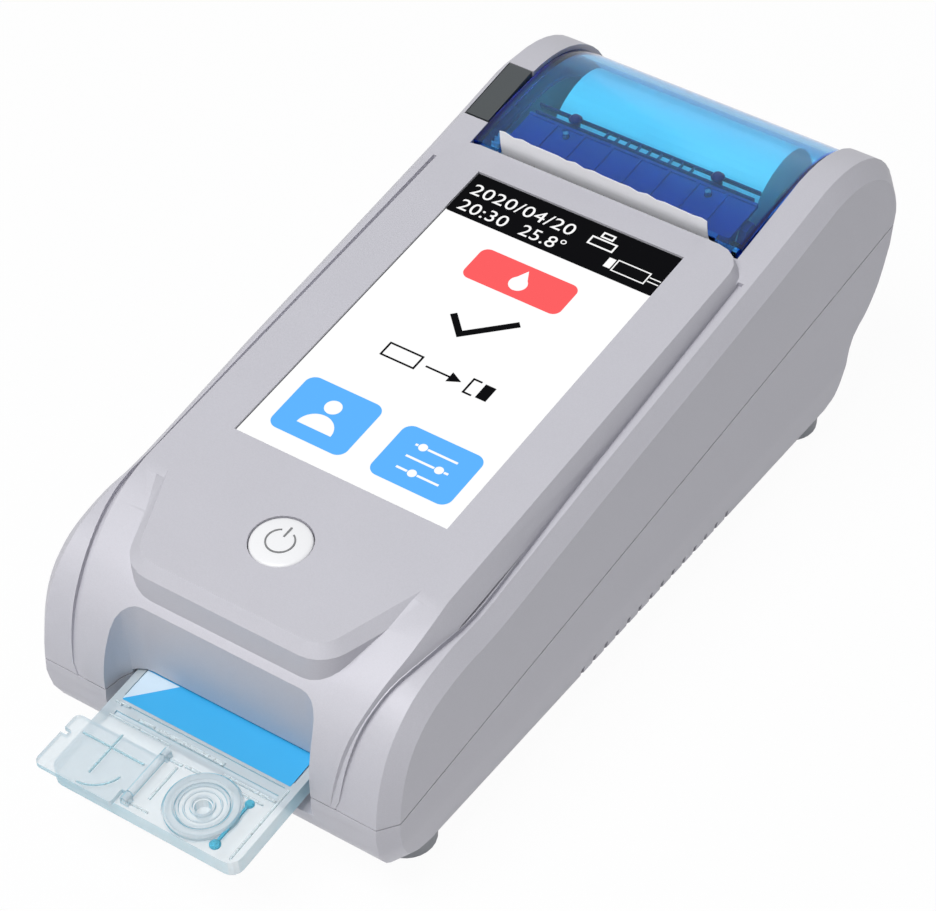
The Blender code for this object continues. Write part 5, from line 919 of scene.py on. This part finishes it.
class AnalyzerCover(bpy.types.Operator):
    """Finish the clear blue printer cover with its softened rim."""
    bl_idname = "analyzer.cover"
    bl_label = "Printer cover"

    def execute(self, context):
        cover = softened_copy("printer_cover", "cover_shell", sizes().cover_edge, segments=3)
        settle(cover, "cover", "cover_blue", replaced=("printer_cover",))
        self.bracket_ribs()
        return {'FINISHED'}

    def bracket_ribs(self):
        """Two long bars with a grid between them and two posts, under the cover."""
        top = BRACKET_TOP
        low = top - BRACKET_BAR_DROP
        shapes = [block("bar_rear", (-31.2, 79.7, low), (31.0, 80.2, top + 0.5)),
                  block("bar_front", (-30.6, 76.9, low), (30.8, 77.4, top + 0.5))]
        for step in range(9):
            x = -11.4 + step * 3.0
            shapes.append(block("rib_%d" % step, (x, 77.2, low), (x + 0.35, 79.9, top + 0.3)))
        for side, x in (("left", -20.0), ("right", 20.0)):
            profile = [(0, top + 3.0), (1.0, top + 2.8), (1.7, top + 2.0), (1.7, top + 1.4),
                       (1.2, top + 1.2), (1.2, low), (0, low)]
            shapes.append(turned("post_" + side, profile, (x, 78.5)))
        piece = joined(shapes, "bracket_ribs")
        smooth_by_angle(piece)
        to_deck_place(piece)
        settle(piece, "cover", "frame_blue", grained("rib_blue", srgb(16, 52, 110), 0.3))


class AnalyzerSmallParts(bpy.types.Operator):
    """Soften the edges of the release lever and the rubber feet."""
    bl_idname = "analyzer.small_parts"
    bl_label = "Lever and feet"

    def execute(self, context):
        lever = softened_copy("release_lever", "lever_body", 0.0003)
        settle(lever, "lever", "dark_grey", replaced=("release_lever",))
        for place in ("front_left", "front_right", "rear_left", "rear_right"):
            node = "foot_" + place
            settle(softened_copy(node, "pad_" + place, 0.0004), "case", "rubber_grey", replaced=(node,))
        return {'FINISHED'}


class AnalyzerFinishes(bpy.types.Operator):
    """Give every piece that is shown from the CAD its finish."""
    bl_idname = "analyzer.finishes"
    bl_label = "Finishes"

    def execute(self, context):
        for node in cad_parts.values():
            for slot in node.material_slots:
                slot.material = finish_named(slot.material.name.split(".")[0])
        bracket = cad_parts["platen_bracket"]
        bracket.material_slots[0].material = grained("bracket_blue", srgb(22, 70, 160), 0.4)
        return {'FINISHED'}


class AnalyzerStage(bpy.types.Operator):
    """Set the pale floor, the soft lamps and the camera."""
    bl_idname = "analyzer.stage"
    bl_label = "Stage, lamps and camera"

    def execute(self, context):
        self.floor()
        self.world()
        for name, place, power in LAMPS:
            self.lamp(name, place, power)
        self.camera()
        context.scene.view_settings.view_transform = 'Standard'
        return {'FINISHED'}

    def floor(self):
        deselect()
        bpy.ops.mesh.primitive_plane_add(size=FLOOR_SIZE)
        floor = bpy.context.object
        floor.name = "studio_floor"
        paint = Paint("studio_floor", 0.9)
        grain = paint.noise(30.0, 3.0)
        paint.set("Base Color", paint.mix(grain, (0.86, 0.86, 0.865), (0.90, 0.90, 0.905)))
        glow = paint.node('ShaderNodeEmission', {}, {})
        paint.blend_surface(paint.seen() * FLOOR_GLOW, Socket(paint, paint.shader.outputs[0]), glow,
                            "Material Output")
        floor.data.materials.append(paint.material)

    def world(self):
        world = bpy.data.worlds.new("studio")
        bpy.context.scene.world = world
        world.use_nodes = True
        nodes = Nodes(world.node_tree)
        light = nodes.node('ShaderNodeBackground', {}, {"Color": (0.93, 0.95, 1.0), "Strength": SKY_LEVEL})
        white = nodes.node('ShaderNodeBackground', {}, {"Color": (1.0, 1.0, 1.0), "Strength": 1.0})
        nodes.blend_surface(nodes.seen(), light, white, "World Output")

    def lamp(self, name, place, power):
        deselect()
        bpy.ops.object.light_add(type='AREA', location=place)
        lamp = bpy.context.object
        lamp.name = "lamp_" + name
        lamp.data.size = LAMP_SIZE
        lamp.data.energy = power
        lamp.rotation_euler = Vector(place).to_track_quat('Z', 'Y').to_euler()

    def camera(self):
        deselect()
        bpy.ops.object.camera_add(location=CAMERA_PLACE,
                                  rotation=[radians(turn) for turn in CAMERA_TURN])
        camera = bpy.context.object
        camera.name = "studio_camera"
        camera.data.sensor_width = CAMERA_SENSOR
        camera.data.lens = CAMERA_LENS
        bpy.context.scene.camera = camera


class AnalyzerPanel(bpy.types.Panel):
    """The analyzer's pieces, in the 3D view's sidebar."""
    bl_idname = "VIEW3D_PT_analyzer"
    bl_label = "Blood Gas Analyzer"
    bl_space_type = 'VIEW_3D'
    bl_region_type = 'UI'
    bl_category = "Analyzer"

    def draw(self, context):
        for operator in OPERATORS:
            self.layout.operator(operator.bl_idname)
        for group in (context.scene.analyzer_sizes, context.scene.analyzer_colors):
            for name in group.__annotations__:
                self.layout.prop(group, name)


OPERATORS = (AnalyzerFinishes, AnalyzerHousing, AnalyzerScreen, AnalyzerButton, AnalyzerCard,
             AnalyzerCover, AnalyzerSmallParts, AnalyzerStage)
CLASSES = (AnalyzerSizes, AnalyzerColors, *OPERATORS, AnalyzerPanel)


def register():
    for item in CLASSES:
        bpy.utils.register_class(item)
    bpy.types.Scene.analyzer_sizes = PointerProperty(type=AnalyzerSizes)
    bpy.types.Scene.analyzer_colors = PointerProperty(type=AnalyzerColors)


def unregister():
    del bpy.types.Scene.analyzer_sizes
    del bpy.types.Scene.analyzer_colors
    for item in reversed(CLASSES):
        bpy.utils.unregister_class(item)


def main():
    register()
    bpy.ops.analyzer.finishes()
    bpy.ops.analyzer.housing()
    bpy.ops.analyzer.screen()
    bpy.ops.analyzer.button()
    bpy.ops.analyzer.card()
    bpy.ops.analyzer.cover()
    bpy.ops.analyzer.small_parts()
    bpy.ops.analyzer.stage()


if __name__ == "__main__":
    main()
